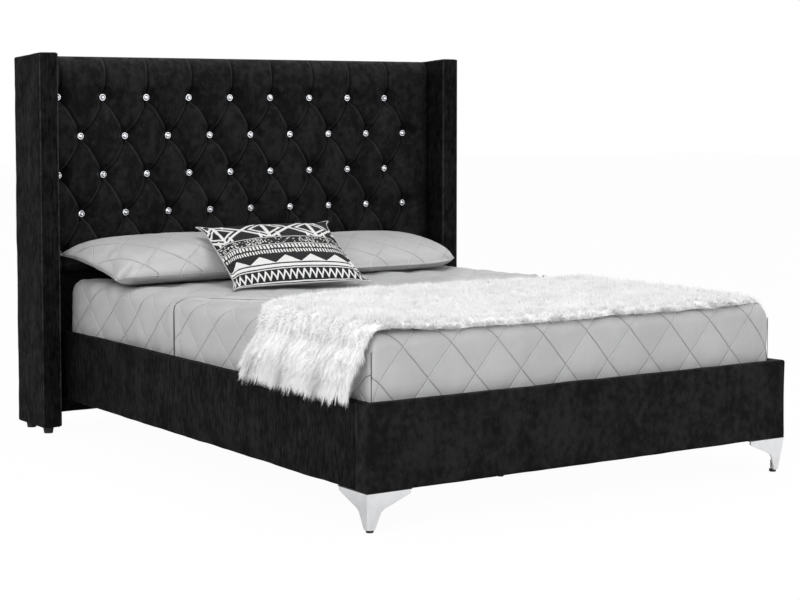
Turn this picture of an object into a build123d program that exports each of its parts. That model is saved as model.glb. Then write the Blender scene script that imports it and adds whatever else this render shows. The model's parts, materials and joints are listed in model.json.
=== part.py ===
from build123d import *
import os
from math import sqrt

# A queen size upholstered bed with a tufted wing headboard and its bedding.
# +Z is up, +Y points to the headboard, and the origin is on the floor under the middle.
# All sizes are in millimetres.

# Mattress and the cloth round it
MATTRESS_WIDTH = 1524
MATTRESS_LENGTH = 2014
MATTRESS_DEPTH = 240
MATTRESS_CORNER_RADIUS = 38
MATTRESS_TOP_RADIUS = 34
MATTRESS_SINK = 62
BEDDING_ROOM = 17
CLOTH_GAP = 0.6
SHEET_THICKNESS = 5
COVERLET_THICKNESS = 6
TUCK_DEPTH = 50
COVERLET_SIDE_REACH = 1204
COVERLET_TOP_REACH = 925
COVERLET_SWEEP_WIDTH = 200

# Side rails and footboard
SIDE_THICKNESS = 32
SIDE_COVER = 5
RAIL_HEIGHT = 250
RAIL_EDGE_RADIUS = 4.5
FOOT_RETURN = 58
FOOT_CORNER_RADIUS = 8
LEG_HEIGHT = 116

# Headboard, from its buttons back to its rear face
HEADBOARD_HEIGHT = 1374
HEADBOARD_BOTTOM = 52
PAD_BACKING = 30
PANEL_THICKNESS = 12
STUD_DEPTH = 54
BACK_CLOTH = 2
STUD_WIDTH = 45
CENTRE_STUD_OFFSET = 283
LOW_PLANK_BOTTOM = 172
LOW_PLANK_HEIGHT = 174
MIDDLE_RAIL_HEIGHT = 720
TOP_WRAP_THICKNESS = 6
TOP_WRAP_RETURN = 60
LOWER_PAD_RECESS = 10

# Tufting of the headboard pad
BUTTON_SPACING = 180
BUTTON_ROW_SPACING = 144
TOP_ROW_DROP = 151
PATTERN_SHIFT = -29
PUFF_DEPTH = 45
PLEAT_DEPTH = 25
SIDE_PUFF_DEPTH = 30
TOP_ROLL_BACK = 25
TUFT_GAP = 3
PAD_SIDE_GAP = 1
PAD_BOTTOM_DROP = 72
PLEAT_FLOOR_WIDTH = 5
ROLL_SHARES = (0, 0.3, 0.55, 0.76, 0.92, 1)
PHASE_SHARES = (0.25, 0.5, 0.75)

# Buttons
BUTTON_RADIUS = 12
BUTTON_SEAT_WIDTH = 25
CUP_THICKNESS = 5
CUP_SIDES = 16
CRYSTAL_RADIUS = 10
CRYSTAL_TABLE_RADIUS = 5
CRYSTAL_GIRDLE = 1.5
CRYSTAL_CROWN = 4
CRYSTAL_SIDES = 8

# Wings
WING_FORWARD = 136
WING_THICKNESS = 72
WING_GAP = 38
WING_RISE = 10
WING_TOP_DROP = 14
WING_LIFT = 24
WING_COVER = 5
WING_SKIN = 6
WING_MEMBER = 45
WING_EDGE_RADIUS = 4.5
WING_WINDOWS = 3
WING_FOOT_TOP_RADIUS = 20
WING_FOOT_BOTTOM_RADIUS = 16
WING_FOOT_INSET = 40

# Slats, ledges and centre beam
SLAT_THICKNESS = 20
SLAT_WIDTH = 90
SLAT_COUNT = 13
SLAT_END_ROOM = 3
LEDGE_WIDTH = 28
LEDGE_HEIGHT = 40
LEDGE_END_ROOM = 4
STRAP_WIDTH = 25
STRAP_THICKNESS = 1.5
STRAP_OFFSET = 480
BEAM_WIDTH = 44
BEAM_HEIGHT = 70
HANGER_THICKNESS = 3
HANGER_LIP = 40
HANGER_TAB = 22
BEAM_END_ROOM = 1

# Centre legs and levelling glides
CENTRE_LEG_COUNT = 3
CENTRE_LEG_SPACING = 620
CENTRE_LEG_RADIUS = 19
CENTRE_LEG_WALL = 2
CENTRE_PLATE = 66
CENTRE_PLATE_THICKNESS = 3
CENTRE_INSERT = 26
GLIDE_RADIUS = 12
GLIDE_FOOT_RADIUS = 10.5
GLIDE_HEIGHT = 8
GLIDE_STUD_RADIUS = 4
GLIDE_STUD_LENGTH = 34
GLIDE_STUD_GAP = 0.35
GLIDE_FACE_GAP = 0.4

# Front legs
LEG_FLANGE = 149
LEG_FOOT_WIDTH = 33
LEG_WALL = 5
LEG_TAPER = 10
LEG_TIP_HEIGHT = 11
LEG_KNEE_RADIUS = 28
LEG_TIP_RADIUS = 5
LEG_TOP_CHAMFER = 0.6
LEG_FOOT_CHAMFER = 6
LEG_FOOT_BLOCK = 30
LEG_INSET = 1
LEG_PLATE_THICKNESS = 3
LEG_PLATE_REACH = 152
LEG_PLATE_TIP = 26
LEG_KNEE_SHARES = (0.352, 0.49)

# Screws, bolts and brackets
HEAD_SIDES = 6
SCREW_RADIUS = 2.5
SCREW_HEAD_RADIUS = 5
SCREW_HEAD_HEIGHT = 3
SCREW_LENGTH = 28
HOLE_GAP = 0.3
LEG_SCREW_EDGE = 22
BOLT_RADIUS = 4
BOLT_HEAD_RADIUS = 8
BOLT_HEAD_HEIGHT = 5
BOLT_LENGTH = 24
BRACKET_THICKNESS = 3
BRACKET_ARM = 74
BRACKET_HEIGHT = 120
BRACKET_BOTTOM = 199
BRACKET_BOLT_EDGE = 22
BLOCK_SIZE = 72
BLOCK_HEIGHT = 60
WING_BOLT_RADIUS = 4
WING_BOLT_LENGTH = 34
WING_BOLT_SHARES = (0.1, 0.39, 0.75)

# Pillows, cushion and throw
PILLOW_WIDTH = 768
PILLOW_DEPTH = 470
PILLOW_THICKNESS = 158
PILLOW_DRAW_IN = 26
PILLOW_TILT = 11
PILLOW_GAP = 4
PILLOW_SPLIT = 16
PILLOW_SHIFT = -26
CUSHION_SIDE = 520
CUSHION_THICKNESS = 128
CUSHION_DRAW_IN = 28
CUSHION_TILT = 21
CUSHION_TURN = 5
CUSHION_X = -205
CUSHION_FRONT_REACH = 862
REST_GAP = 1.5
SETTLE_STEPS = 6
RIB_SHARES = (-1, -0.94, -0.8, -0.52, 0, 0.52, 0.8, 0.94, 1)
CROWN_FULLNESS_SHARE = 0.62
THROW_THICKNESS = 14
THROW_GAP = 1
THROW_REAR_REACH = 885
THROW_CORNER_REACH = 547
THROW_FRONT_ROOM = 8
THROW_SHOULDER = 74
THROW_LEFT_DROP = 222
THROW_RIGHT_DROP = 110
THROW_RAIL_GAP = 11
THROW_FOLD = 30
THROW_FOLDS = 3
THROW_FRONT_SLANT = 25
THROW_REAR_SLANT = 95
THROW_INNER_FOLD_SHARE = 0.25
THROW_EDGE_SHARES = ((0.205, 0.83), (0.34, 1))

# Overrun of every cut
CUT = 4

# Planes of the bed that every piece is set from
sheet_offset = CLOTH_GAP + SHEET_THICKNESS
bedding_length = BEDDING_ROOM + MATTRESS_LENGTH + sheet_offset
button_to_foot = SIDE_THICKNESS + bedding_length + TUFT_GAP + PUFF_DEPTH
headboard_depth = PAD_BACKING + PANEL_THICKNESS + STUD_DEPTH + BACK_CLOTH
foot_y = -(button_to_foot + headboard_depth) / 2
foot_inner_y = foot_y + SIDE_THICKNESS
return_y = foot_y + FOOT_RETURN
button_y = foot_y + button_to_foot
lower_front_y = button_y + LOWER_PAD_RECESS
panel_y = button_y + PAD_BACKING
stud_y = panel_y + PANEL_THICKNESS
stud_back_y = stud_y + STUD_DEPTH
back_y = stud_back_y + BACK_CLOTH
mattress_foot_y = foot_inner_y + BEDDING_ROOM
mattress_head_y = mattress_foot_y + MATTRESS_LENGTH
inner_half = MATTRESS_WIDTH / 2 + BEDDING_ROOM
frame_half = inner_half + SIDE_THICKNESS
wing_inner = frame_half + WING_GAP
wing_outer = wing_inner + WING_THICKNESS
wing_front_y = button_y - WING_FORWARD
rail_top = LEG_HEIGHT + RAIL_HEIGHT
slat_top = rail_top - MATTRESS_SINK
slat_bottom = slat_top - SLAT_THICKNESS
mattress_top = slat_top + MATTRESS_DEPTH
sheet_top = mattress_top + sheet_offset
coverlet_offset = sheet_offset + CLOTH_GAP + COVERLET_THICKNESS
coverlet_top = mattress_top + coverlet_offset
pad_half = wing_inner - PAD_SIDE_GAP
wing_top = HEADBOARD_HEIGHT + WING_RISE
top_row_z = HEADBOARD_HEIGHT - TOP_ROW_DROP
seat_half = BUTTON_SEAT_WIDTH / 2
row_room = pad_half - abs(PATTERN_SHIFT) - seat_half - BUTTON_SPACING / 4
buttons_per_row = 1 + int(2 * row_room / BUTTON_SPACING)
rows_below_top = 2 * int((top_row_z - PAD_BOTTOM_DROP - rail_top) / (2 * BUTTON_ROW_SPACING))
pad_bottom = top_row_z - rows_below_top * BUTTON_ROW_SPACING - PAD_BOTTOM_DROP
top_wrap_z = HEADBOARD_HEIGHT - TOP_WRAP_THICKNESS
glide_top = GLIDE_HEIGHT + GLIDE_FACE_GAP

# Helpers for plain shapes


def block(low, high):
    """A box between its lowest and highest corners."""
    size = [b - a for a, b in zip(low, high)]
    middle = [(a + b) / 2 for a, b in zip(low, high)]
    return Pos(*middle) * Box(*size)


def rod(radius, start, direction, length):
    """A round bar from a start point along a direction."""
    base = Plane(origin=start, z_dir=direction)
    return base * Cylinder(radius, length, align=(Align.CENTER, Align.CENTER, Align.MIN))


def hex_bolt(radius, head_radius, head_height, length, seat, direction):
    """A bolt or screw: a six-sided head standing on its seat and a shank along the direction."""
    head_start = Vector(seat) - Vector(direction) * head_height
    outline = Plane(origin=head_start, z_dir=direction) * RegularPolygon(head_radius, HEAD_SIDES)
    return extrude(outline, head_height) + rod(radius, seat, direction, length)


def mirrored(shape):
    """The same piece on the other side of the bed."""
    return mirror(shape, Plane.YZ)


def group(shapes):
    """Separate solids kept in one node."""
    return Compound(children=[solid for shape in shapes for solid in shape.solids()])


def save(name, shape):
    """Write one node."""
    export_step(shape, f"parts/{name}.step")


# Front corner places, used by the legs, plates, blocks and brackets

leg_x = -frame_half + LEG_INSET
leg_y = foot_y + LEG_INSET
plate_bottom = LEG_HEIGHT - LEG_PLATE_THICKNESS


def leg_screw_places():
    """Screw centres, measured from the corner of the left leg plate."""
    near = SIDE_THICKNESS / 2
    far = LEG_PLATE_REACH - LEG_PLATE_TIP - LEG_SCREW_EDGE
    inner = SIDE_THICKNESS + LEG_SCREW_EDGE
    return [(far, near), (near, far), (inner, inner)]


def leg_screw_holes():
    """Clearance holes over both leg plates."""
    holes = []
    for dx, dy in leg_screw_places():
        start = (leg_x + dx, leg_y + dy, plate_bottom - CUT)
        depth = SCREW_LENGTH + 2 * CUT
        holes.append(rod(SCREW_RADIUS + HOLE_GAP, start, (0, 0, 1), depth))
    return holes + [mirrored(hole) for hole in holes]


def bracket_bolt_seats(corner_y, side):
    """Seats and directions of the bolts of one left bracket; side is 1 where the bed's end lies at +Y."""
    low = BRACKET_BOTTOM + BRACKET_BOLT_EDGE
    high = BRACKET_BOTTOM + BRACKET_HEIGHT - BRACKET_BOLT_EDGE
    reach = BRACKET_ARM - BRACKET_BOLT_EDGE
    seats = []
    for z in (low, high):
        seats.append(((-inner_half + BRACKET_THICKNESS, corner_y - side * reach, z), (-1, 0, 0)))
        seats.append(((-inner_half + reach, corner_y - side * BRACKET_THICKNESS, z), (0, side, 0)))
    return seats


def all_bracket_seats():
    """The bolt seats of the two left brackets."""
    return bracket_bolt_seats(foot_inner_y, -1) + bracket_bolt_seats(lower_front_y, 1)


def bracket_holes():
    """Clearance holes for every bracket bolt."""
    holes = []
    for seat, direction in all_bracket_seats():
        start = Vector(seat) - Vector(direction) * CUT
        holes.append(rod(BOLT_RADIUS + HOLE_GAP, start, direction, BOLT_LENGTH + 2 * CUT))
    return holes + [mirrored(hole) for hole in holes]


def wing_bolt_heights():
    """Heights of the bolts that hold a wing."""
    return [HEADBOARD_HEIGHT * share for share in WING_BOLT_SHARES]


wing_bolt_y = stud_y + STUD_DEPTH / 2
wing_bolt_x = -wing_inner + STUD_WIDTH


def wing_bolt_holes():
    """Clearance holes for the wing bolts."""
    holes = []
    for z in wing_bolt_heights():
        start = (wing_bolt_x + CUT, wing_bolt_y, z)
        length = STUD_WIDTH + WING_BOLT_LENGTH + 2 * CUT
        holes.append(rod(WING_BOLT_RADIUS + HOLE_GAP, start, (-1, 0, 0), length))
    return holes + [mirrored(hole) for hole in holes]


# Side rails


def left_rail_board():
    low = (-frame_half + SIDE_COVER, return_y, LEG_HEIGHT)
    high = (-inner_half - SIDE_COVER, lower_front_y, rail_top - SIDE_COVER)
    return block(low, high)


def left_rail_cover():
    outer = block((-frame_half, return_y, LEG_HEIGHT), (-inner_half, lower_front_y, rail_top))
    top_edges = outer.edges().filter_by(Axis.Y).group_by(Axis.Z)[-1]
    return fillet(top_edges, RAIL_EDGE_RADIUS) - left_rail_board()


def rails():
    holes = leg_screw_holes() + bracket_holes()
    board = left_rail_board() - holes
    cover = left_rail_cover() - holes
    save("left_rail_board", board)
    save("right_rail_board", mirrored(board))
    save("left_rail_cover", cover)
    save("right_rail_cover", mirrored(cover))


# Footboard with its two returned ends


def foot_block(inset, top):
    """The U of the footboard in plan, drawn in by an inset and raised to a top height."""
    outer = frame_half - inset
    inner = inner_half + inset
    front = foot_y + inset
    back = foot_inner_y - inset
    points = [
        (-outer, front),
        (outer, front),
        (outer, return_y),
        (inner, return_y),
        (inner, back),
        (-inner, back),
        (-inner, return_y),
        (-outer, return_y),
    ]
    outline = make_face(Polyline(points, close=True))
    return extrude(Pos(0, 0, LEG_HEIGHT) * outline, top - LEG_HEIGHT)


def footboard():
    holes = leg_screw_holes() + bracket_holes()
    board = foot_block(SIDE_COVER, rail_top - SIDE_COVER)
    outer = foot_block(0, rail_top)
    corners = outer.edges().filter_by(Axis.Z).group_by(Axis.Y)[0]
    outer = fillet(corners, FOOT_CORNER_RADIUS)
    front_edge = outer.edges().group_by(Axis.Z)[-1].filter_by(Axis.X).group_by(Axis.Y)[0]
    outer = fillet(front_edge, RAIL_EDGE_RADIUS)
    save("footboard_board", board - holes)
    save("footboard_cover", outer - board - holes)


# Corner blocks, brackets and their bolts


def corner_blocks():
    low = (-inner_half, foot_inner_y, LEG_HEIGHT)
    high = (-inner_half + BLOCK_SIZE, foot_inner_y + BLOCK_SIZE, LEG_HEIGHT + BLOCK_HEIGHT)
    piece = block(low, high)
    free_edge = piece.edges().filter_by(Axis.Z).sort_by(Axis((0, 0, 0), (1, 1, 0)))[-1]
    piece = chamfer(free_edge, BLOCK_SIZE / 2) - leg_screw_holes()
    save("corner_blocks", group([piece, mirrored(piece)]))


def bracket(corner_y, side):
    """A steel angle in one left corner of the frame."""
    x = -inner_half
    low, high = BRACKET_BOTTOM, BRACKET_BOTTOM + BRACKET_HEIGHT
    near, far = sorted((corner_y, corner_y - side * BRACKET_ARM))
    along = block((x, near, low), (x + BRACKET_THICKNESS, far, high))
    near, far = sorted((corner_y, corner_y - side * BRACKET_THICKNESS))
    across = block((x, near, low), (x + BRACKET_ARM, far, high))
    angle = along + across
    ends = angle.edges().filter_by(Axis.X).group_by(Axis.Y)
    outer_ends = ends[0] if side > 0 else ends[-1]
    return fillet(outer_ends, BRACKET_BOLT_EDGE / 2)


def brackets():
    holes = bracket_holes()
    left = [bracket(foot_inner_y, -1) - holes, bracket(lower_front_y, 1) - holes]
    save("frame_brackets", group(left + [mirrored(piece) for piece in left]))
    bolts = []
    for seat, direction in all_bracket_seats():
        bolts.append(hex_bolt(BOLT_RADIUS, BOLT_HEAD_RADIUS, BOLT_HEAD_HEIGHT, BOLT_LENGTH, seat, direction))
    save("frame_bolts", group(bolts + [mirrored(bolt) for bolt in bolts]))


# Slats, ledges, straps, centre beam and its legs

beam_top = slat_bottom - STRAP_THICKNESS
beam_bottom = beam_top - BEAM_HEIGHT
slat_half = inner_half - SLAT_END_ROOM
ledge_foot_y = foot_inner_y + BRACKET_ARM + LEDGE_END_ROOM
ledge_head_y = lower_front_y - BRACKET_ARM - LEDGE_END_ROOM


def ledges():
    low = (-inner_half, ledge_foot_y, slat_bottom - LEDGE_HEIGHT)
    high = (-inner_half + LEDGE_WIDTH, ledge_head_y, slat_bottom)
    ledge = block(low, high)
    save("left_slat_ledge", ledge)
    save("right_slat_ledge", mirrored(ledge))


def slat_centres():
    """Y of each slat, spread evenly along the ledges."""
    first = ledge_foot_y + SLAT_WIDTH / 2
    step = (ledge_head_y - ledge_foot_y - SLAT_WIDTH) / (SLAT_COUNT - 1)
    return [first + step * index for index in range(SLAT_COUNT)]


def slats():
    pieces = []
    for y in slat_centres():
        low = (-slat_half, y - SLAT_WIDTH / 2, slat_bottom)
        pieces.append(block(low, (slat_half, y + SLAT_WIDTH / 2, slat_top)))
    save("slats", group(pieces))
    straps = []
    for x in (-STRAP_OFFSET, STRAP_OFFSET):
        low = (x - STRAP_WIDTH / 2, ledge_foot_y, slat_bottom - STRAP_THICKNESS)
        straps.append(block(low, (x + STRAP_WIDTH / 2, ledge_head_y, slat_bottom)))
    save("slat_straps", group(straps))


def centre_beam():
    ends = BEAM_END_ROOM + HANGER_THICKNESS
    low = (-BEAM_WIDTH / 2, foot_inner_y + ends, beam_bottom)
    beam = block(low, (BEAM_WIDTH / 2, lower_front_y - ends, beam_top))
    shims = []
    for y in slat_centres():
        low = (-BEAM_WIDTH / 2, y - SLAT_WIDTH / 2, beam_top)
        shims.append(block(low, (BEAM_WIDTH / 2, y + SLAT_WIDTH / 2, slat_bottom)))
    save("centre_beam", beam)
    save("beam_pads", group(shims))


def beam_hangers():
    """Steel stirrups that carry the two ends of the beam."""
    pieces = []
    wall = HANGER_THICKNESS
    half = BEAM_WIDTH / 2
    for end_y, side in ((foot_inner_y, -1), (lower_front_y, 1)):
        near, far = sorted((end_y, end_y - side * (BEAM_END_ROOM + wall + HANGER_LIP)))
        shell = block((-half - wall, near, beam_bottom - wall), (half + wall, far, beam_top))
        cut_near, cut_far = sorted((end_y - side * wall, end_y - side * (wall + HANGER_LIP + 2 * CUT)))
        shell -= block((-half, cut_near, beam_bottom), (half, cut_far, beam_top + CUT))
        near, far = sorted((end_y, end_y - side * wall))
        shell += block((-half - HANGER_TAB, near, beam_bottom - wall), (half + HANGER_TAB, far, beam_top))
        pieces.append(shell)
    save("beam_hangers", group(pieces))


def centre_leg_places():
    """Y of each centre leg."""
    middle = (foot_inner_y + lower_front_y) / 2
    first = middle - CENTRE_LEG_SPACING * (CENTRE_LEG_COUNT - 1) / 2
    return [first + CENTRE_LEG_SPACING * index for index in range(CENTRE_LEG_COUNT)]


def centre_leg(y):
    """A steel tube with a plate at its head and a drilled plug at its foot."""
    plate_z = beam_bottom - CENTRE_PLATE_THICKNESS
    tube = rod(CENTRE_LEG_RADIUS, (0, y, glide_top), (0, 0, 1), plate_z - glide_top)
    hollow_z = glide_top + CENTRE_INSERT
    tube -= rod(CENTRE_LEG_RADIUS - CENTRE_LEG_WALL, (0, y, hollow_z), (0, 0, 1), plate_z - hollow_z)
    half = CENTRE_PLATE / 2
    tube += block((-half, y - half, plate_z), (half, y + half, beam_bottom))
    hole_start = (0, y, glide_top - CUT)
    return tube - rod(GLIDE_STUD_RADIUS + GLIDE_STUD_GAP, hole_start, (0, 0, 1), CENTRE_INSERT + 2 * CUT)


def glide(x, y):
    """A levelling glide: a round foot with its stud."""
    foot = Pos(x, y, GLIDE_HEIGHT / 2) * Cone(GLIDE_FOOT_RADIUS, GLIDE_RADIUS, GLIDE_HEIGHT)
    return foot + rod(GLIDE_STUD_RADIUS, (x, y, GLIDE_HEIGHT), (0, 0, 1), GLIDE_STUD_LENGTH)


def centre_legs():
    save("centre_legs", group([centre_leg(y) for y in centre_leg_places()]))
    for number, y in enumerate(centre_leg_places(), start=1):
        save(f"centre_glide_{number}", glide(0, y))


# Front legs: two tapered flanges with a concave sweep, a drilled foot block and a top plate

leg_height = plate_bottom - glide_top
leg_stud = LEG_TAPER + LEG_FOOT_BLOCK / 2


def leg_angle(level, taper, chamfer_size):
    """The plan of the leg's two flanges at one level, as a closed wire."""
    far, wall = LEG_FLANGE, LEG_WALL
    points = [
        (taper + chamfer_size, taper),
        (far, taper),
        (far, taper + wall),
        (taper + wall, taper + wall),
        (taper + wall, far),
        (taper, far),
        (taper, taper + chamfer_size),
    ]
    return Wire.make_polygon([Vector(x, y, level) for x, y in points], close=True)


def leg_silhouette():
    """The swept outline that both flanges keep, seen square on."""
    knee_x = LEG_FLANGE * LEG_KNEE_SHARES[0]
    knee_z = leg_height * (1 - LEG_KNEE_SHARES[1])
    points = [
        (-CUT, 0),
        (LEG_FOOT_WIDTH, 0),
        (knee_x, knee_z),
        (LEG_FLANGE, leg_height - LEG_TIP_HEIGHT),
        (LEG_FLANGE, leg_height + CUT),
        (-CUT, leg_height + CUT),
    ]
    radii = [0, 0, LEG_KNEE_RADIUS, LEG_TIP_RADIUS, 0, 0]
    return make_face(FilletPolyline(points, radius=radii, close=True))


def front_leg():
    """The left front leg, in its place."""
    body = Solid.make_loft(
        [leg_angle(0, LEG_TAPER, LEG_FOOT_CHAMFER), leg_angle(leg_height, 0, LEG_TOP_CHAMFER)], ruled=True
    )
    depth = LEG_FLANGE + 2 * CUT
    across = extrude(Plane.XZ.offset(CUT) * leg_silhouette(), -depth)
    along = extrude(Plane.YZ.offset(-CUT) * leg_silhouette(), depth)
    body = body & across & along
    low = LEG_TAPER + LEG_WALL / 2
    high = LEG_FOOT_WIDTH - LEG_WALL / 2
    body += block((low, low, 0), (high, high, LEG_FOOT_BLOCK))
    depth = LEG_FOOT_BLOCK + 2 * CUT
    body -= rod(GLIDE_STUD_RADIUS + GLIDE_STUD_GAP, (leg_stud, leg_stud, -CUT), (0, 0, 1), depth)
    return Pos(leg_x, leg_y, glide_top) * body


def leg_plate():
    """The black steel plate over the left leg, a triangle with blunt tips."""
    reach, tip = LEG_PLATE_REACH, LEG_PLATE_TIP
    points = [(0, 0), (reach, 0), (reach, tip), (tip, reach), (0, reach)]
    face = Pos(leg_x, leg_y, plate_bottom) * make_face(Polyline(points, close=True))
    return extrude(face, LEG_PLATE_THICKNESS) - leg_screw_holes()


def front_legs():
    leg = front_leg()
    save("left_front_leg", leg)
    save("right_front_leg", mirrored(leg))
    plate = leg_plate()
    save("leg_plates", group([plate, mirrored(plate)]))
    screws = []
    for dx, dy in leg_screw_places():
        seat = (leg_x + dx, leg_y + dy, plate_bottom)
        screw = hex_bolt(SCREW_RADIUS, SCREW_HEAD_RADIUS, SCREW_HEAD_HEIGHT, SCREW_LENGTH, seat, (0, 0, 1))
        screws.append(screw)
    save("leg_screws", group(screws + [mirrored(screw) for screw in screws]))
    foot = glide(leg_x + leg_stud, leg_y + leg_stud)
    save("left_front_glide", foot)
    save("right_front_glide", mirrored(foot))


# Headboard timber, panel and covers


def cross_rail_spans():
    """Bottom and top of each cross rail."""
    low_plank_top = LOW_PLANK_BOTTOM + LOW_PLANK_HEIGHT
    return [
        (HEADBOARD_BOTTOM, HEADBOARD_BOTTOM + STUD_WIDTH),
        (LOW_PLANK_BOTTOM, low_plank_top),
        (MIDDLE_RAIL_HEIGHT, MIDDLE_RAIL_HEIGHT + STUD_WIDTH),
        (top_wrap_z - STUD_WIDTH, top_wrap_z),
    ]


def headboard_timber():
    holes = bracket_holes() + wing_bolt_holes()
    spans = cross_rail_spans()
    across = []
    for low, high in spans:
        across.append(block((-wing_inner, stud_y, low), (wing_inner, stud_back_y, high)) - holes)
    save("headboard_cross_rails", group(across))
    studs = []
    outer = wing_inner - STUD_WIDTH / 2
    for x in (-outer, -CENTRE_STUD_OFFSET, CENTRE_STUD_OFFSET, outer):
        for below, above in zip(spans, spans[1:]):
            low = (x - STUD_WIDTH / 2, stud_y, below[1])
            studs.append(block(low, (x + STUD_WIDTH / 2, stud_back_y, above[0])) - holes)
    save("headboard_studs", group(studs))
    panel = block((-wing_inner, panel_y, HEADBOARD_BOTTOM), (wing_inner, stud_y, top_wrap_z))
    save("headboard_panel", panel - bracket_holes())


def headboard_covers():
    lower = block((-pad_half, lower_front_y, HEADBOARD_BOTTOM), (pad_half, panel_y, pad_bottom))
    save("lower_pad", lower - bracket_holes())
    over = block((-wing_inner, panel_y, top_wrap_z), (wing_inner, back_y, HEADBOARD_HEIGHT))
    rear_edge = over.edges().filter_by(Axis.X).group_by(Axis.Z)[-1].sort_by(Axis.Y)[-1]
    over = fillet(rear_edge, TOP_WRAP_THICKNESS - CLOTH_GAP)
    down = block((-wing_inner, stud_back_y, top_wrap_z - TOP_WRAP_RETURN), (wing_inner, back_y, top_wrap_z))
    save("headboard_top_wrap", over + down)
    cloth_top = top_wrap_z - TOP_WRAP_RETURN
    cloth = block((-wing_inner, stud_back_y, HEADBOARD_BOTTOM), (wing_inner, back_y, cloth_top))
    save("headboard_back_cloth", cloth)


# The tufted pad: one loft of level sections, each a chain of arcs between pleats

pleat_half = PLEAT_FLOOR_WIDTH / 2
first_button_x = PATTERN_SHIFT - (buttons_per_row - 1) * BUTTON_SPACING / 2 - BUTTON_SPACING / 4


def section_wire(z, stations, middles):
    """One level section: arcs between stations of (x, depth), each through a middle depth."""
    edges = []
    for (start, end), middle in zip(zip(stations, stations[1:]), middles):
        a = Vector(start[0], button_y - start[1], z)
        b = Vector(end[0], button_y - end[1], z)
        chord = (start[1] + end[1]) / 2
        if abs(middle - chord) < CLOTH_GAP:
            edges.append(Edge.make_line(a, b))
        else:
            top = Vector((start[0] + end[0]) / 2, button_y - middle, z)
            edges.append(Edge.make_three_point_arc(a, top, b))
    corners = [
        Vector(stations[-1][0], button_y - stations[-1][1], z),
        Vector(stations[-1][0], panel_y, z),
        Vector(stations[0][0], panel_y, z),
        Vector(stations[0][0], button_y - stations[0][1], z),
    ]
    edges += [Edge.make_line(a, b) for a, b in zip(corners, corners[1:])]
    return Wire(edges)


def tuft_section(z, phase):
    """A section between two button rows; phase runs from 0 at an odd row to 1 at an even row."""
    pleat = 4 * PLEAT_DEPTH * phase * (1 - phase)
    growing = PUFF_DEPTH * phase * (2 - phase)
    shrinking = PUFF_DEPTH * (1 - phase * phase)
    shift = phase * (BUTTON_SPACING / 2 - BUTTON_SEAT_WIDTH)
    stations = [(-pad_half, SIDE_PUFF_DEPTH)]
    middles = [SIDE_PUFF_DEPTH]
    for index in range(buttons_per_row):
        x = first_button_x + BUTTON_SPACING * index
        left = x - seat_half - shift
        if index == 0:
            left = x - seat_half
            stations.append((left, SIDE_PUFF_DEPTH * phase))
        else:
            stations.append((left, pleat))
        middles.append(growing)
        stations.append((x + seat_half + shift, pleat))
        middles.append(shrinking)
    last = first_button_x + BUTTON_SPACING * (buttons_per_row - 0.5) + seat_half
    stations.append((last, SIDE_PUFF_DEPTH * (1 - phase)))
    middles.append(SIDE_PUFF_DEPTH)
    stations.append((pad_half, SIDE_PUFF_DEPTH))
    return section_wire(z, stations, middles)


def roll_section(z, share, end_depth):
    """A section above the top row or below the bottom row, rolling back to the pad's edge."""
    valley = end_depth * share + 4 * PLEAT_DEPTH * share * (1 - share)
    fall = sqrt(max(0, 1 - share * share))
    puff = end_depth + (PUFF_DEPTH - end_depth) * fall
    side = end_depth + (SIDE_PUFF_DEPTH - end_depth) * fall
    floor = pleat_half + (seat_half - pleat_half) * max(0, 1 - share / ROLL_SHARES[1])
    stations = [(-pad_half, side)]
    middles = [(side + valley) / 2]
    for index in range(buttons_per_row):
        x = first_button_x + BUTTON_SPACING * index
        stations += [(x - floor, valley), (x + floor, valley)]
        middles += [valley, puff]
    last = first_button_x + BUTTON_SPACING * (buttons_per_row - 0.5) + seat_half
    stations += [(last, side), (pad_half, side)]
    middles.append(side)
    return section_wire(z, stations, middles)


def tufted_pad():
    sections = []
    row_tops = [top_row_z - BUTTON_ROW_SPACING * row for row in range(rows_below_top + 1)]
    start = row_tops[0] + seat_half
    for share in reversed(ROLL_SHARES):
        z = start + (HEADBOARD_HEIGHT - start) * share
        sections.append(roll_section(z, share, -TOP_ROLL_BACK))
    for row, height in enumerate(row_tops):
        odd = row % 2
        if row > 0:
            sections.append(tuft_section(height + seat_half, odd))
        if row < rows_below_top:
            sections.append(tuft_section(height - seat_half, odd))
            gap = BUTTON_ROW_SPACING - BUTTON_SEAT_WIDTH
            for share in PHASE_SHARES:
                phase = 1 - share if odd else share
                sections.append(tuft_section(height - seat_half - gap * share, phase))
    end = row_tops[-1] - seat_half
    for share in ROLL_SHARES:
        z = end + (pad_bottom - end) * share
        sections.append(roll_section(z, share, -LOWER_PAD_RECESS))
    save("tufted_pad", Solid.make_loft(sections, ruled=True))


def button_places():
    """X and Z of each button."""
    places = []
    for row in range(rows_below_top + 1):
        offset = BUTTON_SPACING / 2 if row % 2 else 0
        z = top_row_z - BUTTON_ROW_SPACING * row
        for index in range(buttons_per_row):
            places.append((first_button_x + offset + BUTTON_SPACING * index, z))
    return places


def crystal():
    """A faceted stone, its table facing up its own Z."""
    girdle = RegularPolygon(CRYSTAL_RADIUS, CRYSTAL_SIDES)
    table = Pos(0, 0, CRYSTAL_GIRDLE + CRYSTAL_CROWN) * RegularPolygon(CRYSTAL_TABLE_RADIUS, CRYSTAL_SIDES)
    crown = loft([Pos(0, 0, CRYSTAL_GIRDLE) * girdle, table], ruled=True)
    return extrude(girdle, CRYSTAL_GIRDLE) + crown


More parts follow.
